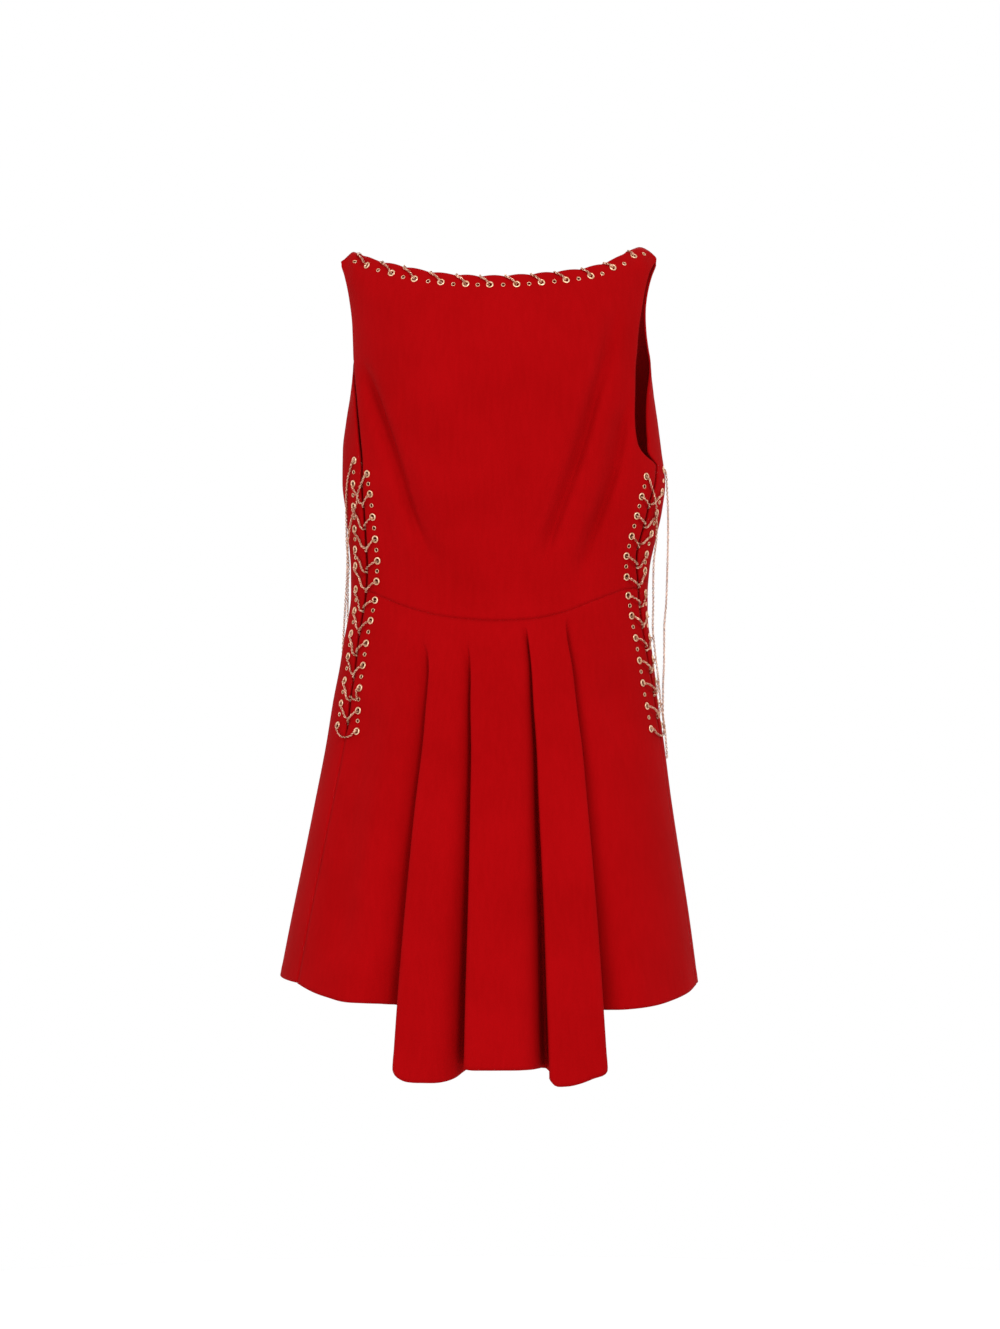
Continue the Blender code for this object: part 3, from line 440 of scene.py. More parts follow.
def part_way(angle, z, to_angle, to_z, distance):
    """Angle and height of the place a distance along the cloth from one place towards another."""
    share = distance / math.hypot((to_angle - angle) * float(mm_per_degree(angle, z)), to_z - z)
    return angle + (to_angle - angle) * share, z + (to_z - z) * share


def neck_stitch(hole_angle, hole_z, crossing_angle, edge_height):
    """Out through an eyelet, up the outside, over the edge and a little way down the inside; over the edge
    the steps are square to the cloth and to its edge."""
    crossing_z = float(edge_height(crossing_angle))
    edge, normal, up = skin_frame(crossing_angle, crossing_z)
    along = body(crossing_angle + 1, edge_height(crossing_angle + 1)) - body(
        crossing_angle - 1, edge_height(crossing_angle - 1))
    square = np.cross(normal, along)
    square /= np.linalg.norm(square)
    up = square if np.dot(square, up) > 0 else -square
    # Out from the cloth and up from the edge
    steps = ((RIDE, -1.8), (RIDE * 0.75, -0.3), (0.0, 0.4), (-RIDE * 0.8, -0.3), (-RIDE - 0.4, -2.0))
    half_way = over((hole_angle + crossing_angle) / 2, (hole_z + crossing_z) / 2, RIDE + 0.3)
    hole = hole_angle, hole_z, crossing_angle, crossing_z
    return [over(*part_way(*hole, 0.8), -RIDE - 0.6), over(*part_way(*hole, 1.5), RIDE * 0.9), half_way] + [
        edge + normal * a + up * b for a, b in steps]


def neck_chain_path():
    """Course of the neck chain: a stitch for each eyelet, the back's from right to left, then the front's."""
    path = []
    for angle, z, crossing in NECK_EYELETS_BACK:
        path += neck_stitch(angle, z, crossing, neck_back)
    for across, z, crossing in front_neck:
        path += neck_stitch(180 - across, z, 180 - crossing, lambda angle: neck_front(180 - angle))
    return path


def lace_start(side, place):
    """Where a lace's free end leaves its top eyelet, and a point half way there: angle, height and lift."""
    angle, z = place
    return (angle + side * 1.3, z - 3.2, RIDE + 0.2), (angle + side * 0.5, z - 1.2, RIDE + 0.2)


def gap_middle(side, z):
    """Angle midway between the panels' edges at one side."""
    return (float(side_edge(side, z, "back")) + float(side_edge(side, z, "front"))) / 2


def lace_path(side):
    """Course of a side's lace: down one strand to the lowest pair, across under the opening, up the other."""
    near, far = SIDE_HOLES[:2] if side < 0 else SIDE_HOLES[2:]
    last = len(near) - 1

    def strand(start_row):
        """From a top eyelet down, to a near and a far one in turn, and round the cloth's edge between."""
        rows = [near, far] if start_row == "near" else [far, near]
        shift = STRANDS_APART if start_row == "near" else -STRANDS_APART
        angle, z = rows[0][0]
        points = [over(*place) for place in lace_start(side, (angle, z))]
        points += [over(angle, z, RIDE * 0.4), over(angle, z, -RIDE - 0.4)]
        mid = gap_middle(side, z - 10)
        depth = -RIDE if start_row == "near" else -RIDE - BEHIND
        points.append(over(mid, z - 12, depth - 0.4))
        for level in range(1, last + 1):
            angle, z = rows[level % 2][level]
            if level == last:
                points += [over(angle, z, -RIDE - 0.3), over(angle, z, RIDE + 0.1)]
                break
            from_near = rows[level % 2] is near
            vertex = (near[level][1] + near[level + 1][1]) / 2 + CROSSING_RISE + shift
            middle = gap_middle(side, vertex)
            hole = angle, z, middle, vertex
            points += [over(*part_way(*hole, HOLE_INSIDE), -RIDE - 0.3),
                       over(*part_way(*hole, HOLE_OUTSIDE), RIDE + 0.1)]
            step = ROUND_EDGE / float(mm_per_degree(middle, vertex)) * side
            toward = -1 if from_near else 1
            if side < 0 and from_near and level == HANGING_LEVEL:
                points.append(over(angle - 0.6, z - 12.5, RIDE + 0.3))
            elif not from_near:
                points.append(over((angle + middle) / 2, (z + vertex) / 2, RIDE + 0.4))
            points += [over(middle + toward * step, vertex + 0.3, RIDE + 0.2),
                       over(middle - toward * step, vertex - 0.3, -RIDE - 0.2)]
        return points

    down, up = strand("near"), strand("far")
    (a0, z0), (a1, z1) = near[last], far[last]
    if last % 2:
        (a0, z0), (a1, z1) = (a1, z1), (a0, z0)
    # Share of the way across under the opening, and how far the chain hangs there
    dip = [(0.18, -6.0), (0.5, -9.5), (0.82, -6.5)]
    across = [over(a0 + (a1 - a0) * t, z0 + (z1 - z0) * t + drop, RIDE + 0.5) for t, drop in dip]
    return down + across + up[::-1]


def lace_end_routes():
    """Routes of the four free ends, each from just under its top eyelet: angle, height, lift."""
    lift = RIDE + 0.2
    rests = {"left_near": [
        (-59.6, -248, 3.6), (-61.2, -255, 4.9), (-64, -268, 5.3), (-68, -279, 5.3), (-72, -290, 5.3),
        (-77, -306, 5.0), (-84, -322, 4.0), (-90, -340, 4.6), (-93, -362, 6.4), (-95, -388, 5.4),
        (-98, -412, 3.4), (-102, -440, lift), (-104, -470, lift), (-105.5, -500, lift),
        (-106.2, -524, lift),
    ], "left_far": [
        (-69.4, -233, lift), (-72, -242, lift), (-76, -262, lift), (-82, -288, lift), (-88, -308, 2.9),
        (-95, -330, 3.6), (-99, -356, 6.6), (-101, -384, 5.6), (-105, -412, 3.2), (-108.5, -440, lift),
        (-110.5, -470, lift), (-111.6, -500, lift), (-112.4, -516, lift),
    ], "right_near": [
        (63.0, -249, 3.4), (65.0, -257, 4.8), (68.2, -270, 5.4), (71.6, -286, 5.4), (75.6, -300, 5.4),
        (79, -314, 5.0), (81.5, -330, 5.6), (82, -350, 7.2), (81.6, -372, 7.8), (81, -396, 6.6),
        (80.6, -420, 5.4), (80.4, -444, 5.3), (80.4, -475, 5.3), (80.6, -505, 5.3), (81, -532, 3.4),
    ], "right_far": [
        (84.6, -241, lift), (86.6, -254, 3.2), (87.6, -270, 6.2), (88.2, -290, 10.5), (88.8, -312, 15.5),
        (89.4, -340, 19.6), (90, -370, 20.0), (90.4, -400, 16.6), (90.8, -430, 12.2), (91, -460, 7.8),
        (91, -485, 4.6), (91, -502, 3.0),
    ]}
    routes = {}
    for row, (name, rest) in enumerate(rests.items()):
        side = -1 if row < 2 else 1
        (angle, z, height), _ = lace_start(side, SIDE_HOLES[row][0])
        routes["lace_end_" + name] = [(angle + side * 0.1, z - CLEAR, height)] + rest
    return routes


# Sharper creases: -1 back or 1 front, depth, width, side that is steeper (1 +X, -1 -X), lengths over which it
# fades in at the top and out at the foot, then x and height along the run
CREASES = [
    (-1, 7.0, 5.2, 1, 50, 60,
     [(-144, -112), (-136.5, -132), (-116, -190), (-102, -233), (-92, -267), (-80, -300), (-67, -332)]),
    (-1, 6.4, 6.2, 1, 110, 70,
     [(125, -57), (117.5, -104), (103.5, -156), (91.5, -200), (75, -249), (54, -309), (42, -352)]),
    (-1, 6.4, 5.8, 1, 50, 80,
     [(135.5, -152), (130, -200), (122.5, -236), (110.5, -272), (98.5, -304), (83, -352)]),
    (-1, 0.4, 2.2, 1, 40, 40, [(6, -90), (6, -150), (6, -290)]),
    (-1, 0.8, 6.0, 1, 40, 40, [(-72, -120), (-70, -170), (-62, -215)]),
    (-1, 0.6, 5.0, -1, 40, 40, [(-98, -130), (-94, -200), (-86, -260)]),
    (-1, 0.8, 5.0, -1, 40, 40, [(30, -240), (22, -300), (18, -360)]),
    (1, 4.2, 6.0, -1, 60, 60, [(-128, -120), (-112, -180), (-96, -232), (-80, -284), (-66, -330)]),
    (1, 3.6, 6.6, 1, 60, 70, [(118, -110), (104, -170), (88, -228), (70, -282), (56, -338)]),
    (1, 2.6, 6.0, 1, 50, 60, [(134, -180), (122, -236), (106, -290), (96, -345)]),
    (1, 0.8, 5.0, -1, 40, 40, [(-24, -200), (-16, -270), (-14, -350)]),
]
# Faint wrinkles that lie over the waist seam: the same, but the run and its fades go along x
WRINKLES = [
    (-1, 0.9, 3.2, 1, 40, 40, [(-86, -374), (-40, -377), (10, -373), (60, -371), (104, -376)]),
    (-1, 0.6, 2.6, 1, 30, 30, [(-40, -361), (0, -364), (52, -360)]),
    (1, 0.9, 3.2, 1, 40, 40, [(-92, -370), (-30, -374), (30, -372), (88, -368)]),
]

# Small eyelets under the neck edge of the back: angle, height
SMALL_NECK_BACK = [
    (66.8, -5.8), (52.5, -18.6), (41.5, -30.5), (30.8, -37), (20.8, -40.5), (11, -43.4), (1.3, -44.6),
    (-8.2, -44.5), (-17.5, -43.5), (-27.5, -39.8), (-38.3, -34.5), (-50.6, -25.7), (-65.5, -14.5),
]
WAIST_LEVEL = 5  # the waist seam passes between this level of the lacing and the next, with no small eyelet

# Profiles of the eyelets: distance from the axis, height over the middle of the cloth
EYELET_LARGE = [
    (2.35, 0.9), (2.55, 1.3), (3.1, 1.5), (3.65, 1.28), (4.05, 0.62), (2.7, 0.55), (2.58, -0.6),
    (3.9, -0.62), (3.8, -1.0), (3.1, -1.25), (2.5, -1.1), (2.35, -0.7),
]
EYELET_SMALL = [
    (1.68, 0.4), (1.72, 0.85), (1.96, 1.02), (2.2, 0.86), (2.28, 0.45), (1.78, -0.5), (1.7, -0.5),
]


def hex_colour(text):
    """Linear colour of an sRGB hex value."""
    parts = [int(text[i:i + 2], 16) / 255 for i in (1, 3, 5)]
    return tuple(c / 12.92 if c <= 0.04045 else ((c + 0.055) / 1.055) ** 2.4 for c in parts) + (1.0,)


def add_node(tree, kind, settings=None, inputs=None, links=None):
    """A node with its settings, the values of its sockets, and what feeds them."""
    node = tree.nodes.new(kind)
    for key, value in (settings or {}).items():
        setattr(node, key, value)
    for key, value in (inputs or {}).items():
        node.inputs[key].default_value = value
    for key, source in (links or {}).items():
        tree.links.new(source, node.inputs[key])
    return node


def new_material(name, values):
    """A material with these values on its shader; also its tree, its shader and the object's coordinates."""
    material = bpy.data.materials.new(name)
    material.use_nodes = True
    tree = material.node_tree
    shader = tree.nodes["Principled BSDF"]
    for key, value in values.items():
        shader.inputs[key].default_value = value
    place = add_node(tree, "ShaderNodeTexCoord").outputs["Object"]
    return material, tree, shader, place


def join(tree, shader, ramp, stops, bump):
    """Colour from a ramp with two stops, and relief from a bump, both led to the shader."""
    for stop, (position, colour) in zip(ramp.color_ramp.elements, stops):
        stop.position, stop.color = position, hex_colour(colour)
    tree.links.new(ramp.outputs[0], shader.inputs["Base Color"])
    tree.links.new(bump.outputs[0], shader.inputs["Normal"])


def crepe():
    """Matt wool-like crepe, piece-dyed red: a fine pebbled face that scatters light evenly, slightly darker
    in its pits. Its colour varies with a slub along the height and with faint clouds; its relief is pebbles
    and slub."""
    material, tree, shader, place = new_material("red_crepe", {"Roughness": 0.9, "Specular IOR Level": 0.04})
    # Pebbles of crepe are 0.4 mm; they are drawn at 1.1 mm so that they show
    pebble = add_node(tree, "ShaderNodeTexNoise", None, {"Scale": 900.0, "Detail": 3.0, "Roughness": 0.6},
                      {"Vector": place})
    slub = add_node(tree, "ShaderNodeMapping", None, {"Scale": (260.0, 260.0, 36.0)}, {"Vector": place})
    slub = add_node(tree, "ShaderNodeTexNoise", None, {"Scale": 1.0, "Detail": 2.0},
                    {"Vector": slub.outputs[0]})
    cloud = add_node(tree, "ShaderNodeTexNoise", None, {"Scale": 14.0, "Detail": 2.0}, {"Vector": place})
    mixed = add_node(tree, "ShaderNodeMath", {"operation": "MULTIPLY_ADD"}, {1: 0.55},
                     {0: slub.outputs["Fac"], 2: cloud.outputs["Fac"]})
    ramp = add_node(tree, "ShaderNodeValToRGB", None, None, {"Fac": mixed.outputs[0]})
    bump = add_node(tree, "ShaderNodeBump", None, {"Strength": 0.22, "Distance": 0.0004},
                    {"Height": pebble.outputs["Fac"]})
    bump = add_node(tree, "ShaderNodeBump", None, {"Strength": 0.12, "Distance": 0.0006},
                    {"Height": slub.outputs["Fac"], "Normal": bump.outputs[0]})
    join(tree, shader, ramp, [(0.45, "#870002"), (1.1, "#900104")], bump)
    return material


def plated_metal(name, light, dark):
    """Plated brass, drawn and tumbled: a warm mirror broken by small dents. Its colour is mottled at random
    between a painted highlight colour and a painted shade colour. One noise gives that mottling and the
    dents."""
    material, tree, shader, place = new_material(name, {"Metallic": 1.0, "Roughness": 0.34})
    # One noise mottles the colour between painted shade and painted highlight, and dents the face
    painted_light_and_dents = add_node(tree, "ShaderNodeTexNoise", None, {"Scale": 420.0, "Detail": 2.0}, {"Vector": place})
    ramp = add_node(tree, "ShaderNodeValToRGB", None, None, {"Fac": painted_light_and_dents.outputs["Fac"]})
    bump = add_node(tree, "ShaderNodeBump", None, {"Strength": 0.15, "Distance": 0.0002},
                    {"Height": painted_light_and_dents.outputs["Fac"]})
    # The ramp runs from the painted shade colour to the painted highlight colour
    join(tree, shader, ramp, [(0.35, dark), (0.68, light)], bump)
    return material


RED_CREPE = crepe()
# For each metal the first colour is a painted highlight and the second a painted shade, mottled at random
ROSE_BRASS = plated_metal("rose_brass_eyelet", "#FFDCBC", "#CC9A70")
GILT_BRASS = plated_metal("gilt_brass_chain", "#F6CDB2", "#955C40")


def mesh_of(name, points, faces):
    """A mesh in metres from points in millimetres and faces."""
    mesh = bpy.data.meshes.new(name)
    mesh.from_pydata((np.asarray(points) * MM).tolist(), [], faces)
    return mesh


def placed(name, data):
    """A new object with this data, linked into the scene."""
    made = bpy.data.objects.new(name, data)
    bpy.context.scene.collection.objects.link(made)
    return made


def add_piece(name, points, faces, material, node=None):
    """A finished piece from points in millimetres and faces, riding on the dress, for a node where given."""
    mesh = mesh_of(name, points, faces.tolist())
    mesh.polygons.foreach_set("use_smooth", np.full(len(mesh.polygons), True))
    mesh.materials.append(material)
    mesh.update()
    piece = placed(name, mesh)
    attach(piece, "root")
    if node:
        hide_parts(node)
    return piece


def grid_normals(grid):
    """Outward normals of a grid whose rows climb and whose columns run with the angle: across times up."""
    return unit(np.cross(np.gradient(grid, axis=1), np.gradient(grid, axis=0)))


def from_edges(grid):
    """Distance of each grid point along the cloth from the nearest side edge, the lower and upper edge."""
    across = np.linalg.norm(np.diff(grid, axis=1), axis=-1)
    up = np.linalg.norm(np.diff(grid, axis=0), axis=-1)
    from_left = np.concatenate([np.zeros((grid.shape[0], 1)), np.cumsum(across, 1)], 1)
    from_low = np.concatenate([np.zeros((1, grid.shape[1])), np.cumsum(up, 0)], 0)
    return np.minimum(from_left, from_left[:, -1:] - from_left), from_low, from_low[-1:] - from_low


def creases(grid):
    """How far sharper creases draw the cloth in: a bell across each crease's run, half as wide on its sharp
    side, in the plane that the photograph shows, fading at both ends."""
    x, y, z = grid[..., 0], grid[..., 1], grid[..., 2]
    inward = np.zeros(x.shape)
    for table, along, across in ((CREASES, -z, x), (WRINKLES, x, z)):
        for face, depth, width, sharp, fade_in, fade_out, run in table:
            knots = [(-height, at) for at, height in run] if table is CREASES else run
            off = across - through(knots)(along)
            reach = off / np.where(off * sharp > 0, width * 0.5, width)
            fade = smooth_step((along - knots[0][0]) / fade_in)
            fade = fade * smooth_step((knots[-1][0] - along) / fade_out)
            inward += depth * fade * np.exp(-0.6 * np.abs(reach) ** 1.6) * (y * face > 0)
    return inward


def cloth_panel(node, grid, turned):
    """Closed shell round a grid: half the cloth's thickness to each side, thicker where a turned edge
    doubles it. Its middle is drawn in by the creases and, in the middle of the back, by a groove at the
    waist seam."""
    side, low, high = from_edges(grid)
    # Under the opening the side edges are seams, so nothing there counts as near an edge
    in_seam = smooth_step((OPENING_END - 4 - grid[..., 2]) / 4)
    side = side + 99 * in_seam
    nearest = np.minimum(side, low if turned == "low" else high)
    thick = CLOTH + HEM * (1 - smooth_step((nearest - HEM_WIDTH) / 1.5))
    normals = grid_normals(grid)
    seam = high if turned == "low" else low
    middle_back = np.exp(-((grid[..., 0] - GROOVE_X) / GROOVE_REACH) ** 4) * (grid[..., 1] < 0)
    dip = GROOVE * middle_back * np.exp(-(seam / GROOVE_WIDTH) ** 2) + creases(grid)
    middle = grid - normals * dip[..., None]
    half = grid_normals(middle) * thick[..., None] / 2
    rows, columns = grid.shape[:2]
    far = rows * columns
    points = np.concatenate([(middle + half).reshape(-1, 3), (middle - half).reshape(-1, 3)])
    index = np.arange(far).reshape(rows, columns)
    a, b, e, d = index[:-1, :-1], index[:-1, 1:], index[1:, 1:], index[1:, :-1]
    outer = np.stack([a, b, e, d], -1).reshape(-1, 4)
    inner = np.stack([a, d, e, b], -1).reshape(-1, 4) + far
    rim = np.concatenate([index[0], index[1:, -1], index[-1, -2::-1], index[-2:0:-1, 0]])
    after = np.roll(rim, -1)
    edge = np.stack([after, rim, far + rim, far + after], -1)
    faces = np.concatenate([outer, inner, edge])
    panel = add_piece(node + "_cloth", points, faces, RED_CREPE, node)
    flat = np.arange(len(panel.data.polygons)) >= 2 * len(outer)
    panel.data.polygons.foreach_set("use_smooth", ~flat)
    return panel


def bulged(edge, crossings):
    """A neck edge that bulges up between the chain's crossings, by a sine's bow for each stitch, and is
    pinched down under them."""
    places = np.sort(np.asarray(crossings, float))

    def at(angle):
        """Height of the edge at an angle."""
        step = np.interp(angle, places, np.arange(len(places), dtype=float), left=0, right=len(places) - 1)
        bow = np.abs(np.sin(math.pi * step)) ** 0.8
        inside = smooth_step((np.asarray(angle) - places[0]) / 3) * smooth_step((places[-1] - angle) / 3)
        return edge(angle) + SCALLOP * bow - PINCH * inside

    return at


def evened(edge, at_top):
    """A side edge's angle averaged over 120 mm of height, easing to the angle that it has at the shoulder."""
    def at(z):
        """Angle at a height."""
        mean = np.mean([edge(z + step) for step in range(-60, 61, 12)], axis=0)
        return mean + (at_top - mean) * smooth_step((z + 110) / 100)

    return at


def bodice_grid(panel, low, high):
    """Grid of the cloth's middle from the waist seam to the neck edge, all on the body's surface: even
    shares of the height up each column. Columns stand at even shares between the panel's evened side edges,
    and those beside a neck point give way more and more to the edge itself."""
    columns = shares_across(200, 14)
    at_left, at_right = edge_angles(panel)
    even_left, even_right = evened(at_left, -90), evened(at_right, 90)
    by_left = np.clip(1 - columns / NECK_SHARE_LEFT, 0, 1)
    by_right = np.clip((columns - NECK_SHARE_RIGHT) / (1 - NECK_SHARE_RIGHT), 0, 1)

    def angle_at(z):
        """Angle of each column at its height."""
        left, right = even_left(z), even_right(z)
        even = left + (right - left) * columns
        return even + (at_left(z) - left) * by_left + (at_right(z) - right) * by_right

    def edge_point(height_of, start):
        """Height at which each column meets an edge, found by going half way to it many times."""
        z = np.full(columns.shape, start)
        for _ in range(30):
            z = (z + height_of(angle_at(z))) / 2
        return z

    bottom, top = edge_point(low, -200.0) + SET_BACK, edge_point(high, -12.0)
    z = bottom + (top - bottom) * CLIMB[:, None]
    angle = angle_at(z)
    grid = body(angle if panel == "back" else 180 - angle, z)
    shoulder = (angle[-1] <= NECK_POINT_LEFT + 0.4) | (angle[-1] >= NECK_POINT_RIGHT - 0.4)
    beside = (np.abs(angle[-1] + 1.5) > SHOULDER_FROM) & (z > -30)
    own_side = -1.0 if panel == "back" else 1.0
    reach = SET_BACK + CLOTH / 2 * smooth_step((top - z) / 3)
    grid[..., 1] = np.where(beside, own_side * np.maximum(own_side * grid[..., 1], reach), grid[..., 1])
    grid[-1, shoulder, 1] = own_side * SET_BACK
    return grid if panel == "back" else grid[:, ::-1]


# Shares of the way up at which a bodice has its rows: closer under each armhole and at the neck edge
CLIMB = np.concatenate([np.linspace(0, 0.38, 34)[:-1], np.linspace(0.38, 0.56, 58)[:-1],
                        np.linspace(0.56, 0.9, 32)[:-1], np.linspace(0.9, 1, 16)])


def shares_across(count, beside):
    """Shares across a bodice at which its columns stand: one at each neck point, and closer near there."""
    left, right = NECK_SHARE_LEFT, NECK_SHARE_RIGHT
    even = np.linspace(0, 1, count)
    eased = 0.6 * even + 0.4 * (0.5 - 0.5 * np.cos(math.pi * even))
    side = np.linspace(0, 1, beside + 1)[:-1]
    return np.concatenate([left * side, left + (right - left) * eased, 1 - (1 - right) * side[::-1]])


def smooth_across(coarse, spacing):
    """Finer columns through a grid's own: on each row a cubic through the points, its slopes the means of
    those beside them, weighted by distance."""
    gaps = np.maximum(np.linalg.norm(np.diff(coarse, axis=1), axis=-1, keepdims=True), 1e-6)
    slopes = np.diff(coarse, axis=1) / gaps
    bends = np.empty_like(coarse)
    bends[:, 0], bends[:, -1] = slopes[:, 0], slopes[:, -1]
    before, after = gaps[:, :-1], gaps[:, 1:]
    bends[:, 1:-1] = (before * slopes[:, 1:] + after * slopes[:, :-1]) / (before + after)
    parts = []
    for j in range(coarse.shape[1] - 1):
        count = max(2, int(math.ceil(float(gaps[:, j].max()) / spacing)))
        t = (np.arange(count) / count)[None, :, None]
        p, q, h = coarse[:, j, None], coarse[:, j + 1, None], gaps[:, j, None]
        m, n = bends[:, j, None] * h, bends[:, j + 1, None] * h
        parts.append((2 * t**3 - 3 * t**2 + 1) * p + (t**3 - 2 * t**2 + t) * m
                     + (3 * t**2 - 2 * t**3) * q + (t**3 - t**2) * n)
    return np.concatenate(parts + [coarse[:, -1:]], 1)


def back_skirt_grid(rows):
    """Grid of the back skirt's middle: each column falls from the waist seam to its own hem height, drawn
    in from the body's surface by its share of the pleat's depth; finer columns run through them."""
    lines = []
    for angle_at, share, hem in back_skirt_columns():
        top = -375.0
        for _ in range(12):
            top = float(waist_back(angle_at(top))) - SET_BACK
        z = top + (hem - top) * rows
        angle = angle_at(z)
        point = body(angle, z)
        out = body(angle + PROBE, z) - body(angle - PROBE, z)
        out = unit(np.stack([out[:, 1], -out[:, 0], 0 * z], -1))
        lines.append(point - out * (share(z) * pleat_size(z)[0])[:, None])
    return smooth_across(np.stack(lines, 1)[::-1], 5.0)


def front_skirt_grid(columns, rows):
    """Grid of the front skirt's middle: even shares between its side edges and from waist to hem."""
    hem = through(HEM_FRONT)
    left, right = edge_angles("front")
    ends = []
    for height_of, z, shift in ((waist_front, -360.0, -SET_BACK), (hem, -760.0, 0.0)):
        z = np.full(columns.shape, z)
        for _ in range(12):
            z = height_of(left(z) + (right(z) - left(z)) * columns) + shift
        ends.append(z)
    z = (ends[0] + (ends[1] - ends[0]) * rows[:, None])[::-1]
    angle = left(z) + (right(z) - left(z)) * columns
    return body(180 - angle, z)[:, ::-1]


def bore(panel, large, small):
    """Holes for the eyelets: round cutters square to the cloth."""
    sides, reach = 14, 4.0
    points, faces = [], []
    for angle, z, width in [(*at, EYELET_BORE) for at in large] + [(*at, SMALL_BORE) for at in small]:
        middle, normal, up = skin_frame(angle, z)
        across = np.cross(up, normal)
        turns = circle(sides)
        ring = (np.cos(turns)[:, None] * across + np.sin(turns)[:, None] * up) * width / 2
        first = len(points)
        points += list(middle - normal * reach + ring) + list(middle + normal * reach + ring)
        faces.append([first + k for k in range(sides)][::-1])
        faces.append([first + sides + k for k in range(sides)])
        faces += [[first + k, first + (k + 1) % sides, first + sides + (k + 1) % sides, first + sides + k]
                  for k in range(sides)]
    cutter = placed("cutter", mesh_of("cutter", points, faces))
    cut = panel.modifiers.new("Bores", "BOOLEAN")
    cut.operation, cut.object, cut.solver = "DIFFERENCE", cutter, "EXACT"
    bpy.context.view_layer.update()
    done = bpy.data.meshes.new_from_object(panel.evaluated_get(bpy.context.evaluated_depsgraph_get()))
    panel.modifiers.remove(cut)
    panel.data = done
    bpy.data.objects.remove(cutter)


def half_ways(places):
    """The places half way between each two neighbours."""
    return [((a[0] + b[0]) / 2, (a[1] + b[1]) / 2) for a, b in zip(places, places[1:])]


def tube_faces(points, backwards=False):
    """Faces of tubes closed both ways round; their points run by tube, round it, then round its section."""
    index = np.arange(points.size // 3).reshape(points.shape[:3])
    after, along = np.roll(index, -1, 1), np.roll(index, -1, 2)
    both = np.roll(after, -1, 2)
    corners = [index, along, both, after] if backwards else [index, after, both, along]
    return np.stack(corners, -1).reshape(-1, 4)


def eyelets(name, places, profile, segments):
    """Many eyelets as one mesh: the profile is turned round the cloth's normal at each place."""
    profile = np.array(profile)
    centre, normal, up = skin_frame(*np.array(places, float).T)
    across = np.cross(up, normal)
    turn = circle(segments)
    ring = np.cos(turn)[None, :, None] * across[:, None] + np.sin(turn)[None, :, None] * up[:, None]
    points = (centre[:, None, None] + ring[:, :, None] * profile[None, None, :, 0, None]
              + normal[:, None, None] * profile[None, None, :, 1, None])
    add_piece(name, points.reshape(-1, 3), tube_faces(points, True), ROSE_BRASS)


def even_route(route, pitch, closed=False):
    """Points a pitch apart on a smooth curve through a route: cubic pieces, walked in steps of 0.25 mm."""
    route = np.asarray(route, float)
    if closed:
        route = np.concatenate([route[-2:], route, route[:3]])
    fine = smooth_across(route[None], 0.25)[0]
    walked = walked_along(fine)
    if closed:
        half = len(fine) // 2
        first = int(np.argmin(np.linalg.norm(fine - route[2], axis=1)))
        final = half + int(np.argmin(np.linalg.norm(fine[half:] - route[-3], axis=1))) + 1
        fine, walked = fine[first:final], walked[first:final] - walked[first]
    count = int(round(walked[-1] / pitch))
    where = np.linspace(0, walked[-1], count + 1)
    if closed:
        where = where[:-1]
    return np.stack([np.interp(where, walked, fine[:, i]) for i in range(3)], -1)


def chain(name, route, width, node, closed=False):
    """Links along a route, and the points they stand at: each link is an oval wire ring, turned a quarter
    from the last and slanted."""
    pitch = width * LINK_PITCH
    path = even_route(route, pitch, closed)
    tangent = unit(np.gradient(path, axis=0))
    side = np.cross(tangent[0], (0.3, 0.9, 0.2))
    carried = []
    for t in tangent:
        side = side - t * np.dot(side, t)
        side = side / np.linalg.norm(side)
        carried.append(side)
    one = np.array(carried)
    two = np.cross(tangent, one)
    number = np.arange(len(path))
    turn = np.radians(45 + 90 * (number % 2) + LINK_TWIST * number)[:, None]
    wide = one * np.cos(turn) + two * np.sin(turn)
    flat = np.cross(tangent, wide)
    slant = math.radians(LINK_SLANT)
    long_axis = tangent * math.cos(slant) + flat * math.sin(slant)
    out = np.cross(long_axis, wide)
    wire = width * LINK_WIRE
    u, v = circle(LINK_SIDES), circle(WIRE_SIDES)
    half_long, half_wide = pitch * LINK_LENGTH, width / 2 - wire
    ring = (long_axis[:, None] * (np.cos(u) * half_long)[None, :, None]
            + wide[:, None] * (np.sin(u) * half_wide)[None, :, None])
    radial = unit(long_axis[:, None] * (np.cos(u) / half_long)[None, :, None]
                  + wide[:, None] * (np.sin(u) / half_wide)[None, :, None])
    points = (path[:, None, None] + ring[:, :, None] + wire * (
        radial[:, :, None] * np.cos(v)[None, None, :, None]
        + out[:, None, None] * np.sin(v)[None, None, :, None]))
    links = add_piece(name, points.reshape(-1, 3), tube_faces(points), GILT_BRASS, node)
    return links, path


# Camera: square on to the back, at the photograph's viewing angle
PIXEL = 1.05  # millimetres a photograph pixel covers at the dress
DISTANCE = 4000.0  # camera from the shoulder line
CAMERA_X, CAMERA_HEIGHT = 0.0021, -0.4352  # in metres
IMAGE_HEIGHT = 1329  # in pixels
SENSOR = 36.0
camera_data = bpy.data.cameras.new("camera")
camera = placed("camera", camera_data)
camera.location = (CAMERA_X, -DISTANCE * MM, CAMERA_HEIGHT)
camera.rotation_euler = (math.radians(90), 0, 0)
camera_data.sensor_width = SENSOR
camera_data.lens = SENSOR * DISTANCE / (PIXEL * IMAGE_HEIGHT)
bpy.context.scene.camera = camera

# Free ends of the laces
for end_name, end_route in lace_end_routes().items():
    route = smooth_route([over(*place) for place in end_route], 3 * END_CHAIN)
    links, line = chain(end_name + "_links", route, END_CHAIN, end_name)

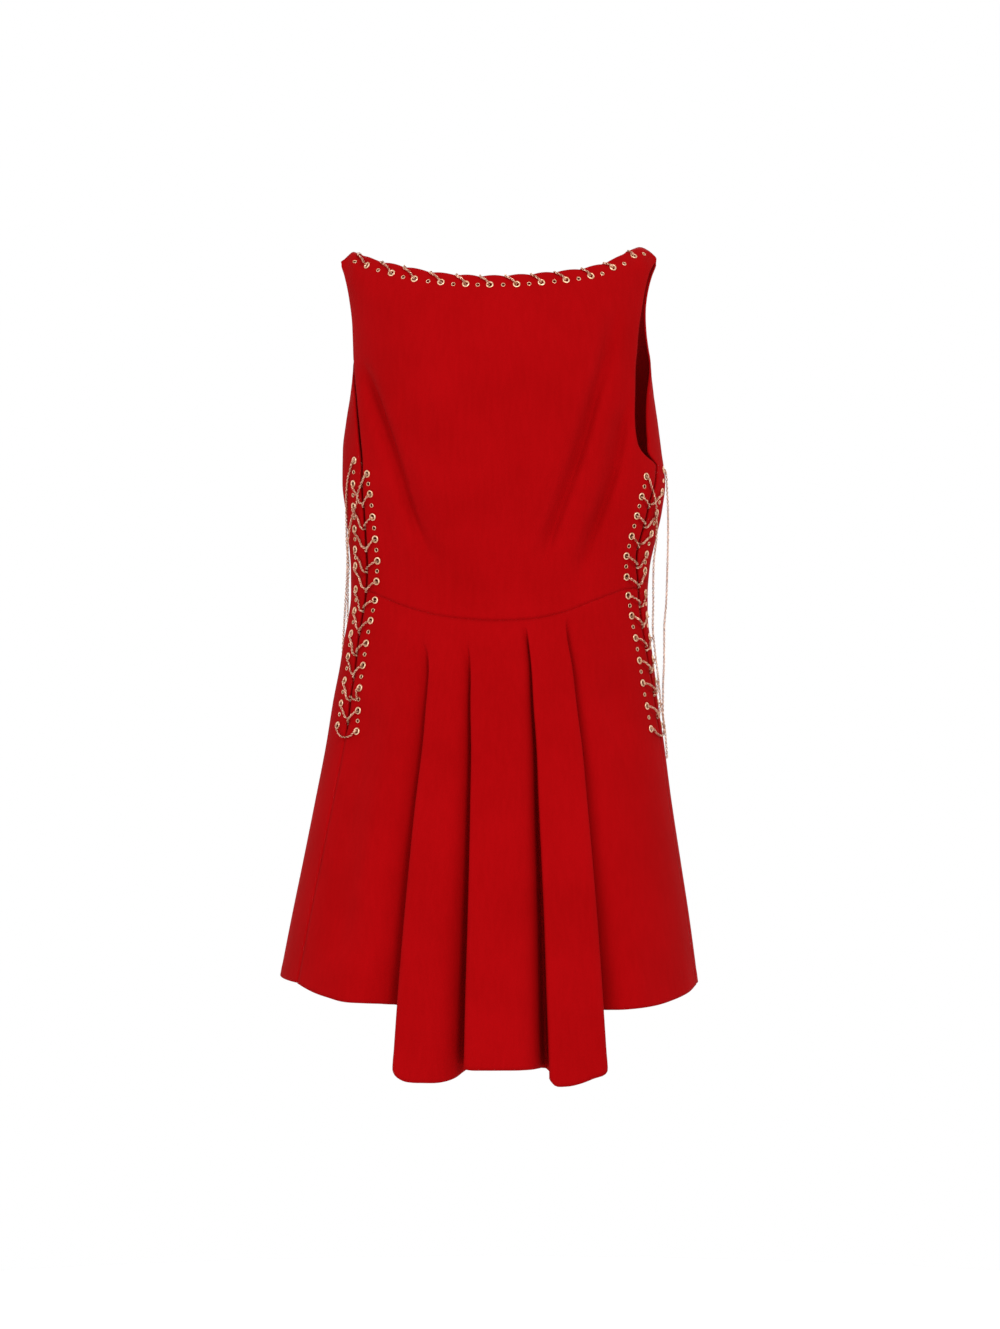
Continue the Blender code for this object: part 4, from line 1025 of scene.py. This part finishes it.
# Neck chain and the two laces
chain("neck_chain_links", neck_chain_path(), NECK_CHAIN, "neck_chain", closed=True)
for side_name, which in (("side_lace_left", -1), ("side_lace_right", 1)):
    chain(side_name + "_links", lace_path(which), LACE_CHAIN, side_name)

# Cloth panels: grid, edge that is turned in, then the flat cut as it shows: width and length in metres, and
# the area in square metres, because the cut is no rectangle
back_edge = bulged(neck_back, [row[2] for row in NECK_EYELETS_BACK])
front_edge = bulged(neck_front, [row[2] for row in front_neck])
fall = np.linspace(0, 1, 100)
panels = {}
for name, grid, turned, wide_m, long_m, area_m in (
        ("back_bodice", bodice_grid("back", waist_back, back_edge), "high", 0.40, 0.40, 0.118),
        ("front_bodice", bodice_grid("front", waist_front, front_edge), "high", 0.545, 0.38, 0.161),
        ("back_skirt", back_skirt_grid(fall), "low", 0.79, 0.48, 0.233),
        ("front_skirt", front_skirt_grid(np.linspace(0, 1, 120), fall), "low", 0.69, 0.43, 0.228)):
    panels[name] = cloth_panel(name, grid, turned)

# Eyelets and their bores; the small ones of a row stand half way between its large ones
neck_holes = [row[:2] for row in NECK_EYELETS_BACK]
front_holes = [(180 - across, z) for across, z, _ in front_neck]
small_front = half_ways(front_holes)
small_side = [half_ways(row) for row in SIDE_HOLES]
above, below, small_above = slice(0, WAIST_LEVEL + 1), slice(WAIST_LEVEL + 1, None), slice(0, WAIST_LEVEL)
for name, large_neck, small_neck, sides, span, small_span in (
        ("back_bodice", neck_holes, SMALL_NECK_BACK, (0, 2), above, small_above),
        ("front_bodice", front_holes, small_front, (1, 3), above, small_above),
        ("back_skirt", [], [], (0, 2), below, below),
        ("front_skirt", [], [], (1, 3), below, below)):
    bore(panels[name], large_neck + sum((SIDE_HOLES[i][span] for i in sides), []),
         small_neck + sum((small_side[i][small_span] for i in sides), []))
eyelets("neck_eyelets_large", neck_holes + front_holes, EYELET_LARGE, 20)
eyelets("side_eyelets_large", sum(SIDE_HOLES, []), EYELET_LARGE, 20)
eyelets("neck_eyelets_small", SMALL_NECK_BACK + small_front, EYELET_SMALL, 14)
eyelets("side_eyelets_small", sum((row[small_above] + row[below] for row in small_side), []),
        EYELET_SMALL, 14)

# Plain pale floor, well below the hem, and soft studio light
FLOOR_RADIUS, FLOOR_HEIGHT, FLOOR_SIDES = 2200.0, -1400.0, 64
floor_points = [(FLOOR_RADIUS * math.cos(turn), FLOOR_RADIUS * math.sin(turn), FLOOR_HEIGHT)
                for turn in circle(FLOOR_SIDES)]
floor_mesh = mesh_of("floor", floor_points, [list(range(FLOOR_SIDES))])
floor = placed("floor", floor_mesh)
floor_white = new_material("floor_white", {"Base Color": hex_colour("#FAFAFA"), "Roughness": 0.9})[0]
floor_mesh.materials.append(floor_white)

bpy.context.scene.view_settings.view_transform = "Standard"
world = bpy.data.worlds.new("studio")
bpy.context.scene.world = world
world.use_nodes = True
world.node_tree.nodes["Background"].inputs["Color"].default_value = (1, 1, 1, 1)
world.node_tree.nodes["Background"].inputs["Strength"].default_value = 1.0
# Lamps: place, what each points at, width, power
LAMPS = [("key", (1.3, -3.0, 1.9), (0, 0, -0.25), 1.1, 74.0),
         ("fill", (-2.4, -2.6, 0.8), (0, 0, -0.3), 1.8, 38.0),
         ("back_light", (0.6, 3.0, 1.4), (0, 0, -0.3), 1.6, 40.0)]
for lamp_name, place, target, width, power in LAMPS:
    data = bpy.data.lights.new(lamp_name, "AREA")
    data.size, data.energy = width, power
    lamp = placed(lamp_name, data)
    lamp.location = place
    lamp.rotation_euler = (Vector(target) - Vector(place)).to_track_quat("-Z", "Y").to_euler()
